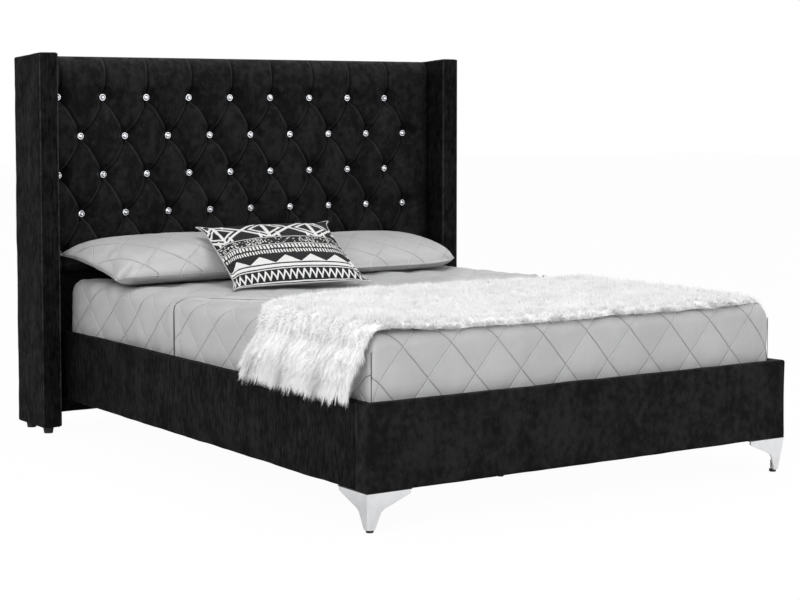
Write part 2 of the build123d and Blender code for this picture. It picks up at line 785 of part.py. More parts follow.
def buttons():
    cup = extrude(RegularPolygon(BUTTON_RADIUS, CUP_SIDES), CUP_THICKNESS)
    stone = crystal()
    cups = []
    stones = []
    for x, z in button_places():
        seat = Plane(origin=(x, button_y, z), x_dir=(1, 0, 0), z_dir=(0, -1, 0))
        cups.append(seat * cup)
        stones.append(seat.offset(CUP_THICKNESS) * stone)
    save("button_cups", group(cups))
    save("button_crystals", group(stones))


# Wings: an open timber ladder between two thin skins, inside a padded cover


def wing_prism(x_low, x_high, inset, bottom):
    """The wing's side outline, drawn in by an inset, as a slab between two X planes."""
    points = [
        (wing_front_y + inset, bottom),
        (back_y - inset, bottom),
        (back_y - inset, wing_top - WING_TOP_DROP - inset),
        (wing_front_y + inset, wing_top - inset),
    ]
    outline = make_face(Polyline(points, close=True))
    return extrude(Plane.YZ.offset(x_low) * outline, x_high - x_low)


def left_wing_cover():
    outer = wing_prism(-wing_outer, -wing_inner, 0, WING_LIFT)
    long_edges = outer.edges().filter_by(Axis.Z) + outer.edges().group_by(Axis.Z)[-1].filter_by(Axis.X)
    outer = fillet(long_edges, WING_EDGE_RADIUS)
    inner = wing_prism(-wing_outer + WING_COVER, -wing_inner - WING_COVER, WING_COVER, WING_LIFT - CUT)
    return outer - inner - wing_bolt_holes()


def left_wing_skins():
    low, high = -wing_outer + WING_COVER, -wing_inner - WING_COVER
    outside = wing_prism(low, low + WING_SKIN, WING_COVER, WING_LIFT)
    inside = wing_prism(high - WING_SKIN, high, WING_COVER, WING_LIFT)
    return group([outside, inside - wing_bolt_holes()])


def left_wing_frame():
    low = -wing_outer + WING_COVER + WING_SKIN
    high = -wing_inner - WING_COVER - WING_SKIN
    ladder = wing_prism(low, high, WING_COVER, WING_LIFT)
    member_top = wing_top - WING_TOP_DROP - WING_COVER - WING_MEMBER
    first = WING_LIFT + WING_MEMBER
    window = (member_top - first - WING_MEMBER * (WING_WINDOWS - 1)) / WING_WINDOWS
    front, back = wing_front_y + WING_COVER + WING_MEMBER, back_y - WING_COVER - WING_MEMBER
    for index in range(WING_WINDOWS):
        z = first + (window + WING_MEMBER) * index
        ladder -= block((low - CUT, front, z), (high + CUT, back, z + window))
    return ladder - wing_bolt_holes()


def wings():
    cover, skins, ladder = left_wing_cover(), left_wing_skins(), left_wing_frame()
    save("left_wing_cover", cover)
    save("right_wing_cover", mirrored(cover))
    save("left_wing_skins", skins)
    save("right_wing_skins", group([mirrored(skins)]))
    save("left_wing_frame", ladder)
    save("right_wing_frame", mirrored(ladder))
    bolts = []
    for z in wing_bolt_heights():
        seat = (wing_bolt_x, wing_bolt_y, z)
        length = STUD_WIDTH + WING_BOLT_LENGTH
        bolts.append(hex_bolt(WING_BOLT_RADIUS, BOLT_HEAD_RADIUS, BOLT_HEAD_HEIGHT, length, seat, (-1, 0, 0)))
    save("wing_bolts", group(bolts + [mirrored(bolt) for bolt in bolts]))
    feet = []
    x = -(wing_inner + wing_outer) / 2
    for y in (wing_front_y + WING_FOOT_INSET, back_y - WING_FOOT_INSET):
        cone = Cone(WING_FOOT_BOTTOM_RADIUS, WING_FOOT_TOP_RADIUS, WING_LIFT)
        feet.append(Pos(x, y, WING_LIFT / 2) * cone)
    save("wing_feet", group(feet + [mirrored(foot) for foot in feet]))


# Mattress, sheet and coverlet


def rounded_block(offset, bottom):
    """The mattress let out by an offset, with rounded upright and top edges."""
    half = MATTRESS_WIDTH / 2 + offset
    low = (-half, mattress_foot_y - offset, bottom)
    piece = block(low, (half, mattress_head_y + offset, mattress_top + offset))
    piece = fillet(piece.edges().filter_by(Axis.Z), MATTRESS_CORNER_RADIUS + offset)
    return fillet(piece.edges().group_by(Axis.Z)[-1], MATTRESS_TOP_RADIUS + offset)


def mattress():
    save("mattress", rounded_block(0, slat_top))


def cloth_shell(inner_offset, outer_offset, bottom):
    """A cap of cloth between two offsets of the mattress."""
    return rounded_block(outer_offset, bottom) - rounded_block(inner_offset, bottom - CUT)


def coverlet_keep():
    """The plan area that the coverlet covers: its top edge sweeps back towards the side edges."""
    half = MATTRESS_WIDTH / 2 + BEDDING_ROOM
    side_y = mattress_foot_y + COVERLET_SIDE_REACH
    top_y = mattress_foot_y + COVERLET_TOP_REACH
    front = mattress_foot_y - BEDDING_ROOM
    inner = half - COVERLET_SWEEP_WIDTH
    points = [(-half, front), (half, front), (half, side_y), (inner, top_y), (-inner, top_y), (-half, side_y)]
    outline = make_face(Polyline(points, close=True))
    return extrude(outline, coverlet_top + CUT)


def bed_cloth():
    sheet_bottom = slat_top + CLOTH_GAP
    save("quilted_sheet", cloth_shell(CLOTH_GAP, sheet_offset, sheet_bottom))
    coverlet_bottom = rail_top - TUCK_DEPTH
    shell = cloth_shell(sheet_offset + CLOTH_GAP, coverlet_offset, coverlet_bottom)
    save("coverlet", shell & coverlet_keep())


# Pillows and cushion: crowned strips over and under one drawn-in rim


def rib(share, width, depth, crown, draw_in):
    """One arc across a filled cover, standing on the drawn-in rim at a share of the half width."""
    x = share * width / 2
    y = depth / 2 - draw_in * (1 - share * share)
    middle_x = x - draw_in * share * abs(share)
    height = crown * (1 - share * share) ** CROWN_FULLNESS_SHARE
    return Edge.make_three_point_arc(Vector(x, -y, 0), Vector(middle_x, 0, height), Vector(x, y, 0))


def padded_form(width, depth, thickness, draw_in):
    """A filled cover lying flat, with its middle at the origin: ruled strips between crowned ribs."""
    faces = []
    for crown in (thickness / 2, -thickness / 2):
        ribs = [rib(share, width, depth, crown, draw_in) for share in RIB_SHARES]
        faces += [Face.make_surface_from_curves(a, b) for a, b in zip(ribs, ribs[1:])]
    return Solid(Shell(faces))


def lowered(shape, floor_z):
    """The shape set down so that its lowest point is at the floor height."""
    return Pos(0, 0, floor_z - shape.bounding_box().min.Z) * shape


def pillow(x):
    """A pillow on the sheet, its back edge raised against the headboard."""
    piece = padded_form(PILLOW_WIDTH, PILLOW_DEPTH, PILLOW_THICKNESS, PILLOW_DRAW_IN)
    piece = Rot(PILLOW_TILT, 0, 0) * piece
    piece = lowered(piece, sheet_top + REST_GAP)
    back = button_y - PUFF_DEPTH - PILLOW_GAP
    return Pos(x, back - piece.bounding_box().max.Y, 0) * piece


def settled(shape, others):
    """The shape lowered by its own distance to the pieces below until only the rest gap is left."""
    for _ in range(SETTLE_STEPS):
        drop = min(shape.distance_to(other) for other in others) - REST_GAP
        shape = Pos(0, 0, -drop) * shape
    return shape


def accent_cushion(supports):
    """A square cushion leaning back on the pillows."""
    piece = padded_form(CUSHION_SIDE, CUSHION_SIDE, CUSHION_THICKNESS, CUSHION_DRAW_IN)
    piece = Rot(0, 0, -CUSHION_TURN) * piece
    piece = Rot(CUSHION_TILT, 0, 0) * piece
    front = button_y - CUSHION_FRONT_REACH
    piece = Pos(CUSHION_X, front - piece.bounding_box().min.Y, 0) * piece
    high = sheet_top + PILLOW_THICKNESS + CUSHION_THICKNESS
    return settled(lowered(piece, high), supports)


def pillows():
    middle = PILLOW_WIDTH / 2 + PILLOW_SPLIT
    left, right = pillow(PILLOW_SHIFT - middle), pillow(PILLOW_SHIFT + middle)
    save("left_pillow", left)
    save("right_pillow", right)
    half = MATTRESS_WIDTH / 2
    bed_top = block((-half, mattress_foot_y, mattress_top), (half, mattress_head_y, sheet_top))
    save("accent_cushion", accent_cushion([left, right, bed_top]))


# Throw: a cloth cap over the bed, with a wavy drape over the left rail

throw_inner = MATTRESS_WIDTH / 2 + coverlet_offset + THROW_GAP
throw_outer = throw_inner + THROW_THICKNESS
throw_under = coverlet_top + THROW_GAP
throw_over = throw_under + THROW_THICKNESS
throw_front = mattress_foot_y - coverlet_offset + THROW_FRONT_ROOM
throw_round = MATTRESS_TOP_RADIUS + coverlet_offset + THROW_GAP


def throw_cap():
    """The part that lies on the bed, with its two rounded shoulders."""
    right_bottom = throw_over - THROW_RIGHT_DROP
    left_bottom = throw_over - THROW_SHOULDER
    outer = [
        (-throw_outer, left_bottom),
        (-throw_outer, throw_over),
        (throw_outer, throw_over),
        (throw_outer, right_bottom),
        (throw_inner, right_bottom),
        (throw_inner, throw_under),
        (-throw_inner, throw_under),
        (-throw_inner, left_bottom),
    ]
    big = throw_round + THROW_THICKNESS
    radii = [0, big, big, 0, 0, throw_round, throw_round, 0]
    outline = make_face(FilletPolyline(outer, radius=radii, close=True))
    length = THROW_REAR_REACH + CUT
    cap = extrude(Plane.XZ.offset(-throw_front) * outline, -length)
    return cap & throw_plan()


def throw_plan():
    """The throw's outline from above: its rear edge falls away towards the left."""
    left = -throw_outer - CUT
    right = throw_outer + CUT
    corner = throw_front + THROW_CORNER_REACH
    rear = throw_front + THROW_REAR_REACH
    points = [(left, corner), (left, throw_front), (right, throw_front), (right, rear)]
    for across, back in reversed(THROW_EDGE_SHARES):
        reach = THROW_CORNER_REACH + (THROW_REAR_REACH - THROW_CORNER_REACH) * back
        points.append((-throw_outer + 2 * throw_outer * across, throw_front + reach))
    return extrude(make_face(Polyline(points, close=True)), throw_over + CUT)


def fold_edges(x, ends, level, fold):
    """One edge for each half fold along Y, every second one swung far out to the left."""
    edges = []
    for index, (a, b) in enumerate(zip(ends, ends[1:])):
        start, end = Vector(x, a, level), Vector(x, b, level)
        if fold:
            bulge = fold if index % 2 else fold * THROW_INNER_FOLD_SHARE
            edges.append(Edge.make_three_point_arc(start, Vector(x - bulge, (a + b) / 2, level), end))
        else:
            edges.append(Edge.make_line(start, end))
    return edges


def drape_wire(level, front, rear, inner, fold):
    """A level section of the hanging cloth, as a closed wire of arcs or lines."""
    count = 2 * THROW_FOLDS
    ends = [front + (rear - front) * index / count for index in range(count + 1)]
    outer = inner - THROW_THICKNESS
    edges = fold_edges(inner, ends, level, fold)
    edges.append(Edge.make_line(Vector(inner, rear, level), Vector(outer, rear, level)))
    edges += fold_edges(outer, ends, level, fold)
    edges.append(Edge.make_line(Vector(outer, front, level), Vector(inner, front, level)))
    return Wire(edges)


def left_drape():
    """The cloth that hangs over the left rail in folds."""
    top = throw_over - THROW_SHOULDER
    corner = throw_front + THROW_CORNER_REACH
    upper = drape_wire(top, throw_front, corner, -throw_inner, 0)
    bottom = top - (THROW_LEFT_DROP - THROW_SHOULDER)
    inner = -frame_half - THROW_RAIL_GAP
    lower = drape_wire(bottom, throw_front + THROW_FRONT_SLANT, corner + THROW_REAR_SLANT, inner, THROW_FOLD)
    return Solid.make_loft([lower, upper], ruled=True)


def throw_blanket():
    save("throw_blanket", throw_cap() + left_drape())


os.makedirs("parts", exist_ok=True)
rails()
footboard()
corner_blocks()
brackets()
ledges()
slats()
centre_beam()
beam_hangers()
centre_legs()
front_legs()
headboard_timber()
headboard_covers()
tufted_pad()
buttons()
wings()
mattress()
bed_cloth()
pillows()
throw_blanket()
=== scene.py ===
import json
import logging
import math
from abc import ABC, abstractmethod
from dataclasses import dataclass
from enum import Enum
from typing import Callable, Sequence

import bmesh
import bpy
import numpy as np
from mathutils import Matrix, Vector


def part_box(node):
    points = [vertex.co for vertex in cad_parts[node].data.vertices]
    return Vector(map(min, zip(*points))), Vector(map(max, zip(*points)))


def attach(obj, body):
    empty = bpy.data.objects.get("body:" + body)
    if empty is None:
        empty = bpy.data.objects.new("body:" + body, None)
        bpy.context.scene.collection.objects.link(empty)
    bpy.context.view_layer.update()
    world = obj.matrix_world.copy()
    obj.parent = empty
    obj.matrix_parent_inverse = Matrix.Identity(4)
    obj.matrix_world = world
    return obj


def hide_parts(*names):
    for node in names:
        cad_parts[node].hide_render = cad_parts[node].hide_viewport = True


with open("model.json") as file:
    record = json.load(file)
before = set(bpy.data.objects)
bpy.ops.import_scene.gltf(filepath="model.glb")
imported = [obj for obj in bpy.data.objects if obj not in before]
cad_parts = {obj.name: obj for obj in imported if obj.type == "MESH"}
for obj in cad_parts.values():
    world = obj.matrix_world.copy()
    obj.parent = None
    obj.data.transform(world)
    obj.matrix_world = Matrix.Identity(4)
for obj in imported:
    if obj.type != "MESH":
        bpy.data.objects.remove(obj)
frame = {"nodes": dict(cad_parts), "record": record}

log = logging.getLogger("bed")

Colour = tuple[float, float, float]
Array = np.ndarray


class Body(str, Enum):
    """The CAD bodies that the pieces ride on."""

    FRAME = "frame_body"
    MATTRESS = "mattress_body"
    THROW = "throw_body"
    CUSHION = "cushion_body"
    LEFT_PILLOW = "left_pillow_body"
    RIGHT_PILLOW = "right_pillow_body"


class Slot(str, Enum):
    """The record's material slots."""

    VELVET = "velvet"
    PLYWOOD = "plywood"
    PINE = "pine"
    SLAT_WOOD = "slat_wood"
    ZINC_STEEL = "zinc_steel"
    CHROME_STEEL = "chrome_steel"
    BLACK_STEEL = "black_steel"
    BLACK_PLASTIC = "black_plastic"
    CRYSTAL = "crystal"
    BUTTON_RIM = "button_rim"
    WEBBING = "webbing"
    BACK_CLOTH = "back_cloth"
    TICKING = "ticking"
    SATIN_GREY = "satin_grey"
    CUSHION_PRINT = "cushion_print"
    WHITE_FUR = "white_fur"


# Shader graphs


def operator_pair(operation: str) -> tuple[Callable, Callable]:
    """An arithmetic operator of fields and its reflected form.

    Args:
        operation: the Math node's operation.

    Returns:
        The two methods.
    """

    def forward(self: "Field", other: "Value") -> "Field":
        """The operation on the field and another value."""
        return self.graph.maths(operation, self, other)

    def reflected(self: "Field", other: "Value") -> "Field":
        """The operation on another value and the field."""
        return self.graph.maths(operation, other, self)

    return forward, reflected


class Field:
    """One output of a shader node, with arithmetic that adds Math nodes."""

    def __init__(self, graph: "Graph", node: bpy.types.Node, output: int | str = 0) -> None:
        """Wraps a node's output.

        Args:
            graph: the graph that new nodes go into.
            node: the node.
            output: the name or number of its output.
        """
        self.graph = graph
        self.node = node
        self.socket = node.outputs[output] if node.outputs else None

    def __getitem__(self, output: int | str) -> "Field":
        """Another output of the same node."""
        return Field(self.graph, self.node, output)

    __add__, __radd__ = operator_pair("ADD")
    __sub__, __rsub__ = operator_pair("SUBTRACT")
    __mul__, __rmul__ = operator_pair("MULTIPLY")
    __truediv__, __rtruediv__ = operator_pair("DIVIDE")

    def __abs__(self) -> "Field":
        """The field without its sign."""
        return self.graph.maths("ABSOLUTE", self)

    def fraction(self) -> "Field":
        """The part after the decimal point, from 0 to 1."""
        return self.graph.maths("FRACT", self)

    def below(self, limit: "Value") -> "Field":
        """1 where the field is under the limit, else 0."""
        return self.graph.maths("LESS_THAN", self, limit)

    def above(self, limit: "Value") -> "Field":
        """1 where the field is over the limit, else 0."""
        return self.graph.maths("GREATER_THAN", self, limit)

    def at_most(self, limit: "Value") -> "Field":
        """The smaller of the field and the limit."""
        return self.graph.maths("MINIMUM", self, limit)

    def at_least(self, limit: "Value") -> "Field":
        """The larger of the field and the limit."""
        return self.graph.maths("MAXIMUM", self, limit)

    def between(self, low: float, high: float) -> "Field":
        """1 inside the band and 0 outside it."""
        return self.above(low) * self.below(high)


Value = Field | float


class Graph:
    """The node tree of a material or the world, built through one method for every node type."""

    def __init__(self, holder: bpy.types.Material | bpy.types.World) -> None:
        """Starts an empty tree.

        Args:
            holder: the material or world that the tree belongs to.
        """
        self.holder = holder
        self.holder.use_nodes = True
        self.tree = self.holder.node_tree
        self.tree.nodes.clear()

    def node(self, kind: str, settings: dict | None = None, inputs: dict | None = None) -> Field:
        """Adds a node.

        Args:
            kind: the node type without its ShaderNode prefix.
            settings: node properties by name.
            inputs: values or fields by input name or index.

        Returns:
            The node's first output.
        """
        made = self.tree.nodes.new("ShaderNode" + kind)
        for key, value in (settings or {}).items():
            setattr(made, key, value)
        for key, value in (inputs or {}).items():
            if isinstance(value, Field):
                self.tree.links.new(value.socket, made.inputs[key])
            else:
                made.inputs[key].default_value = value
        return Field(self, made)

    def maths(self, operation: str, *values: Value) -> Field:
        """A Math node on one or two values."""
        return self.node("Math", {"operation": operation}, dict(enumerate(values)))

    def place(self) -> Field:
        """The point in the object's own frame, in metres."""
        return self.node("TexCoord")["Object"]

    def attribute(self, name: str) -> Field:
        """A vector attribute of the mesh, split into X, Y and Z."""
        vector = self.node("Attribute", {"attribute_name": name})["Vector"]
        return self.node("SeparateXYZ", {}, {0: vector})

    def stretched(self, scale: Sequence[float]) -> Field:
        """The object's own point with each axis scaled."""
        return self.node("Mapping", {}, {"Vector": self.place(), "Scale": tuple(scale)})

    def noise(self, vector: Field, scale: float, detail: float = 3.0, roughness: float = 0.5) -> Field:
        """A noise between 0 and 1."""
        inputs = {"Vector": vector, "Scale": scale, "Detail": detail, "Roughness": roughness}
        return self.node("TexNoise", {}, inputs)

    def mix(self, share: Value, low: "Field | Colour", high: "Field | Colour") -> Field:
        """A colour between two others."""
        inputs = {0: share, 6: shade(low), 7: shade(high)}
        return self.node("Mix", {"data_type": "RGBA"}, inputs)[2]

    def ramp(self, value: Field, low: float, high: float) -> Field:
        """The value stretched so that low gives 0 and high gives 1."""
        inputs = {"Value": value, 1: low, 2: high}
        return self.node("MapRange", {"interpolation_type": "SMOOTHSTEP"}, inputs)

    def bump(self, height: Field, depth: float, normal: Field | None = None, strength: float = 1.0) -> Field:
        """A Bump node; depth is in metres.

        Args:
            height: the height field.
            depth: what a height of 1 stands for, in metres.
            normal: the normal of another bump under this one.
            strength: the share of the bump that shows.

        Returns:
            The bumped normal.
        """
        inputs: dict = {"Height": height, "Distance": depth, "Strength": strength}
        if normal is not None:
            inputs["Normal"] = normal
        return self.node("Bump", {}, inputs)

    def surface(self, **inputs: "Value | Colour") -> bpy.types.Material:
        """Ends the graph in a Principled shader and returns its material.

        Args:
            inputs: values of the shader's sockets, with _ for each space.

        Returns:
            The material.
        """
        named = {key.replace("_", " "): shade(value) for key, value in inputs.items()}
        shader = self.node("BsdfPrincipled", {}, named)
        self.node("OutputMaterial", {}, {"Surface": shader})
        return self.holder


def shade(value: "Field | float | Colour") -> "Field | float | tuple":
    """A colour as Blender's four numbers; anything else as it is."""
    return (*value, 1.0) if isinstance(value, tuple) and len(value) == 3 else value


# Finishes

QUILT_START = 0.1
DIAMOND = (0.168, 0.19)
CLOTH = "cloth"
ALONG = "along"
# the attribute that carries the tufted pad's painted crease shade (X) and painted highlight (Y)
PLEAT_SHADE_AND_HIGHLIGHT = "fold"


@dataclass(frozen=True)
class Finish(ABC):
    """What a surface is made of."""

    name: str

    @abstractmethod
    def paint(self, graph: Graph) -> bpy.types.Material:
        """Builds the material in the graph."""

    def material(self) -> bpy.types.Material:
        """The finished material."""
        return self.paint(Graph(bpy.data.materials.new(self.name)))


@dataclass(frozen=True)
class Velvet(Finish):
    """Crushed velvet: a near black pile whose lay changes in soft upright streaks."""

    dark: Colour = (0.0022, 0.0022, 0.0024)
    light: Colour = (0.0145, 0.0142, 0.0154)
    streaks: float = 0.03
    gloss: float = 0.07
    bloom: float = 0.012
    streak_scale: float = 11.0
    crush_scale: float = 46.0
    pile_scale: float = 1500.0
    tufted: bool = False
    # painted shade along the pad's pleat creases, and a painted highlight on the lit side of each crease
    fold_painted_shade: Colour = (0.0006, 0.0006, 0.0007)
    fold_painted_highlight: Colour = (0.04, 0.039, 0.042)

    def paint(self, graph: Graph) -> bpy.types.Material:
        """Streaks, crush and pile, with painted shade in a tufted pad's pleat creases and a painted highlight beside
        them.

        Args:
            graph: the material's empty graph.

        Returns:
            The material.
        """
        streaks = graph.noise(graph.stretched((1.0, 1.0, 0.6)), self.streak_scale, 5.0, 0.62)
        crush = graph.noise(graph.stretched((1.0, 1.0, 0.8)), self.crush_scale, 4.0, 0.6)
        pile = graph.noise(graph.place(), self.pile_scale, 2.0)
        fibres = graph.noise(graph.stretched((1.0, 1.0, 0.1)), 210.0, 3.0, 0.6)
        broad = 1.0 - self.streaks
        lay = graph.ramp(streaks * (broad * 0.5) + crush * (broad * 0.5) + fibres * self.streaks, 0.4, 0.62)
        speck = graph.ramp(pile, 0.3, 0.75)
        colour = graph.mix(lay * 0.75 + speck * 0.25, self.dark, self.light)
        # on a tufted pad: painted shade in each pleat crease, then a painted highlight on the crease's lit side
        if self.tufted:
            fold = graph.attribute(PLEAT_SHADE_AND_HIGHLIGHT)
            colour = graph.mix(fold["X"], colour, self.fold_painted_shade)
            colour = graph.mix(fold["Y"] * 0.6, colour, self.fold_painted_highlight)
        normal = graph.bump(crush, 0.0035, graph.bump(pile, 0.0004, strength=0.5), 0.7)
        return graph.surface(
            Base_Color=colour, Roughness=0.74 - lay * 0.22, Normal=normal, Sheen_Weight=self.bloom,
            Sheen_Roughness=0.35, Sheen_Tint=(0.7, 0.7, 0.74), Specular_IOR_Level=self.gloss,
        )


@dataclass(frozen=True)
class Satin(Finish):
    """Silver satin, stitched in diamonds where the cloth attribute gives the flat cloth's own place."""

    base: Colour = (0.415, 0.415, 0.42)
    # thread: painted shade in the stitch lines that run one way; glint: painted highlight on those that run the
    # other way
    thread: Colour = (0.035, 0.035, 0.037)
    glint: Colour = (0.72, 0.72, 0.73)
    seam: float = 0.0115

    def paint(self, graph: Graph) -> bpy.types.Material:
        """Weave and slow rumples, with a painted highlight on one set of stitch lines and painted shade in the other
        set.

        Args:
            graph: the material's empty graph.

        Returns:
            The material.
        """
        weave = graph.node(
            "TexWave", {"wave_type": "BANDS", "bands_direction": "DIAGONAL"},
            {"Vector": graph.place(), "Scale": 420.0, "Distortion": 0.6, "Detail": 1.0},
        )
        cloud = graph.noise(graph.place(), 7.0, 4.0, 0.55)
        rumple = graph.noise(graph.stretched((1.0, 0.7, 1.0)), 26.0, 3.0, 0.5)
        tone = graph.mix(graph.ramp(cloud, 0.3, 0.7), self.base, tuple(1.12 * part for part in self.base))
        normal = graph.bump(weave, 0.0002, graph.bump(rumple, 0.006, strength=0.55), 0.35)
        cloth = graph.attribute(CLOTH)
        across, along = (cloth["X"] - QUILT_START) / DIAMOND[0], cloth["Y"] / DIAMOND[1]
        wander = graph.noise(graph.place(), 9.0, 2.0) * 0.05
        one = abs((across + along + wander).fraction() - 0.5)
        two = abs((across - along + wander).fraction() - 0.5)
        near = 0.5 - one.at_least(two)
        uneven = graph.ramp(graph.noise(graph.place(), 14.0, 2.0), 0.25, 0.6)
        # painted shade in the stitch valleys that run one way, and a painted highlight on those that run the other
        # way
        dark = graph.ramp(0.5 - one, self.seam, self.seam * 0.25) * (uneven * 0.6 + 0.4)
        light = graph.ramp(0.5 - two, self.seam, self.seam * 0.25) * uneven
        valley = graph.ramp(near, 0.0, self.seam * 3.2)
        puckers = graph.noise(graph.place(), 120.0, 2.0) * (1.0 - graph.ramp(near, 0.0, self.seam * 9.0))
        normal = graph.bump(valley + puckers * 0.35, 0.0028, normal, 0.7)
        # the painted highlight, then the painted shade, over the cloth's tone
        tone = graph.mix(light * 0.45, tone, self.glint)
        tone = graph.mix(dark * 0.92, tone, self.thread)
        return graph.surface(
            Base_Color=tone, Roughness=0.36 + cloud * 0.18, Normal=normal, Sheen_Weight=0.15,
            Sheen_Roughness=0.4, Specular_IOR_Level=0.42,
        )


@dataclass(frozen=True)
class Weave(Finish):
    """A plain woven or felted cloth."""

    base: Colour
    accent: Colour
    scale: float = 900.0
    roughness: float = 0.85

    def paint(self, graph: Graph) -> bpy.types.Material:
        """Warp and weft threads with slubs.

        Args:
            graph: the material's empty graph.

        Returns:
            The material.
        """
        warp, weft = (
            graph.node(
                "TexWave", {"bands_direction": axis},
                {"Vector": graph.place(), "Scale": self.scale, "Distortion": 1.5},
            )
            for axis in "XZ"
        )
        slubs = graph.noise(graph.place(), 60.0, 4.0)
        thread = warp * 0.5 + weft * 0.5
        colour = graph.mix(thread * 0.6 + slubs * 0.4, self.base, self.accent)
        normal = graph.bump(thread, 0.0003, graph.bump(slubs, 0.0012, strength=0.5), 0.6)
        return graph.surface(Base_Color=colour, Roughness=self.roughness - slubs * 0.12, Normal=normal)


@dataclass(frozen=True)
class Timber(Finish):
    """Sawn wood: grain stretched along one axis, with darker late wood."""

    early: Colour
    late: Colour
    grain: tuple[float, float, float] = (18.0, 1.2, 18.0)

    def paint(self, graph: Graph) -> bpy.types.Material:
        """Rings and fibres along the grain.

        Args:
            graph: the material's empty graph.

        Returns:
            The material.
        """
        bent = graph.noise(graph.stretched(self.grain), 1.0, 5.0, 0.6)
        rings = graph.node(
            "TexWave", {"wave_type": "RINGS", "rings_direction": "Y"},
            {"Vector": graph.stretched(self.grain), "Scale": 0.9, "Distortion": 5.0, "Detail": 3.0},
        )
        fibre = graph.noise(graph.stretched(tuple(12.0 * part for part in self.grain)), 2.0, 2.0)
        colour = graph.mix(graph.ramp(rings * 0.6 + bent * 0.4, 0.25, 0.85), self.early, self.late)
        normal = graph.bump(fibre, 0.0006, strength=0.5)
        return graph.surface(Base_Color=colour, Roughness=0.62 + fibre * 0.16, Normal=normal)


@dataclass(frozen=True)
class Metal(Finish):
    """Plated or painted metal with fine rubbed marks."""

    base: Colour
    roughness: float
    metallic: float = 1.0
    coat: float = 0.0

    def paint(self, graph: Graph) -> bpy.types.Material:
        """Smudges and rubbed marks.

        Args:
            graph: the material's empty graph.

        Returns:
            The material.
        """
        rubbed = graph.noise(graph.stretched((60.0, 60.0, 900.0)), 1.0, 3.0)
        smudge = graph.noise(graph.place(), 34.0, 4.0)
        colour = graph.mix(graph.ramp(smudge, 0.3, 0.8), self.base, tuple(0.9 * part for part in self.base))
        normal = graph.bump(rubbed, 0.0001, strength=0.12)
        return graph.surface(
            Base_Color=colour, Roughness=self.roughness + smudge * 0.08 + rubbed * 0.03, Normal=normal,
            Metallic=self.metallic, Coat_Weight=self.coat,
        )


@dataclass(frozen=True)
class Moulded(Finish):
    """Matt moulded plastic with a fine spark texture."""

    base: Colour

    def paint(self, graph: Graph) -> bpy.types.Material:
        """A fine spark with scuffs.

        Args:
            graph: the material's empty graph.

        Returns:
            The material.
        """
        spark = graph.noise(graph.place(), 1400.0, 2.0)
        scuff = graph.noise(graph.place(), 80.0, 4.0)
        colour = graph.mix(graph.ramp(scuff, 0.5, 0.8), self.base, tuple(part * 1.8 + 0.01 for part in self.base))
        normal = graph.bump(spark, 0.0002, strength=0.4)
        return graph.surface(Base_Color=colour, Roughness=0.5 + scuff * 0.2, Normal=normal)


@dataclass(frozen=True)
class Stone(Finish):
    """A cut crystal over foil: bright facets with a few cloudy inclusions."""

    base: Colour = (0.88, 0.9, 0.94)

    def paint(self, graph: Graph) -> bpy.types.Material:
        """Facets and cloudy spots.

        Args:
            graph: the material's empty graph.

        Returns:
            The material.
        """
        cloud = graph.noise(graph.place(), 260.0, 2.0)
        facet = graph.node("TexVoronoi", {}, {"Vector": graph.place(), "Scale": 190.0})
        colour = graph.mix(graph.ramp(cloud, 0.35, 0.8), self.base, (0.62, 0.65, 0.7))
        normal = graph.bump(facet, 0.0012, strength=0.5)
        return graph.surface(
            Base_Color=colour, Roughness=0.05 + cloud * 0.08, Normal=normal, Metallic=0.7, Coat_Weight=1.0,
            Coat_Roughness=0.03,
        )


@dataclass(frozen=True)
class Fur(Finish):
    """Long white pile; the along attribute runs from root to tip."""

    # root: grey at the hairs' roots, painted shade deep in the pile; tip: the fur's own white
    root: Colour = (0.73, 0.73, 0.735)
    tip: Colour = (0.89, 0.89, 0.89)

    def paint(self, graph: Graph) -> bpy.types.Material:
        """Each hair from painted shade at its root to its own white at its tip.

        Args:
            graph: the material's empty graph.

        Returns:
            The material.
        """
        along = graph.node("Attribute", {"attribute_name": ALONG})["Fac"]
        lock = graph.noise(graph.place(), 38.0, 3.0)
        colour = graph.mix(graph.ramp(along, -0.1, 0.6), self.root, self.tip)
        colour = graph.mix(graph.ramp(lock, 0.4, 0.8) * 0.08, colour, (0.8, 0.8, 0.81))
        fibre = graph.noise(graph.place(), 700.0, 2.0)
        return graph.surface(
            Base_Color=colour, Roughness=0.7 + lock * 0.2, Normal=graph.bump(fibre, 0.0003, strength=0.3),
            Sheen_Weight=0.35, Sheen_Roughness=0.6, Specular_IOR_Level=0.2,
        )


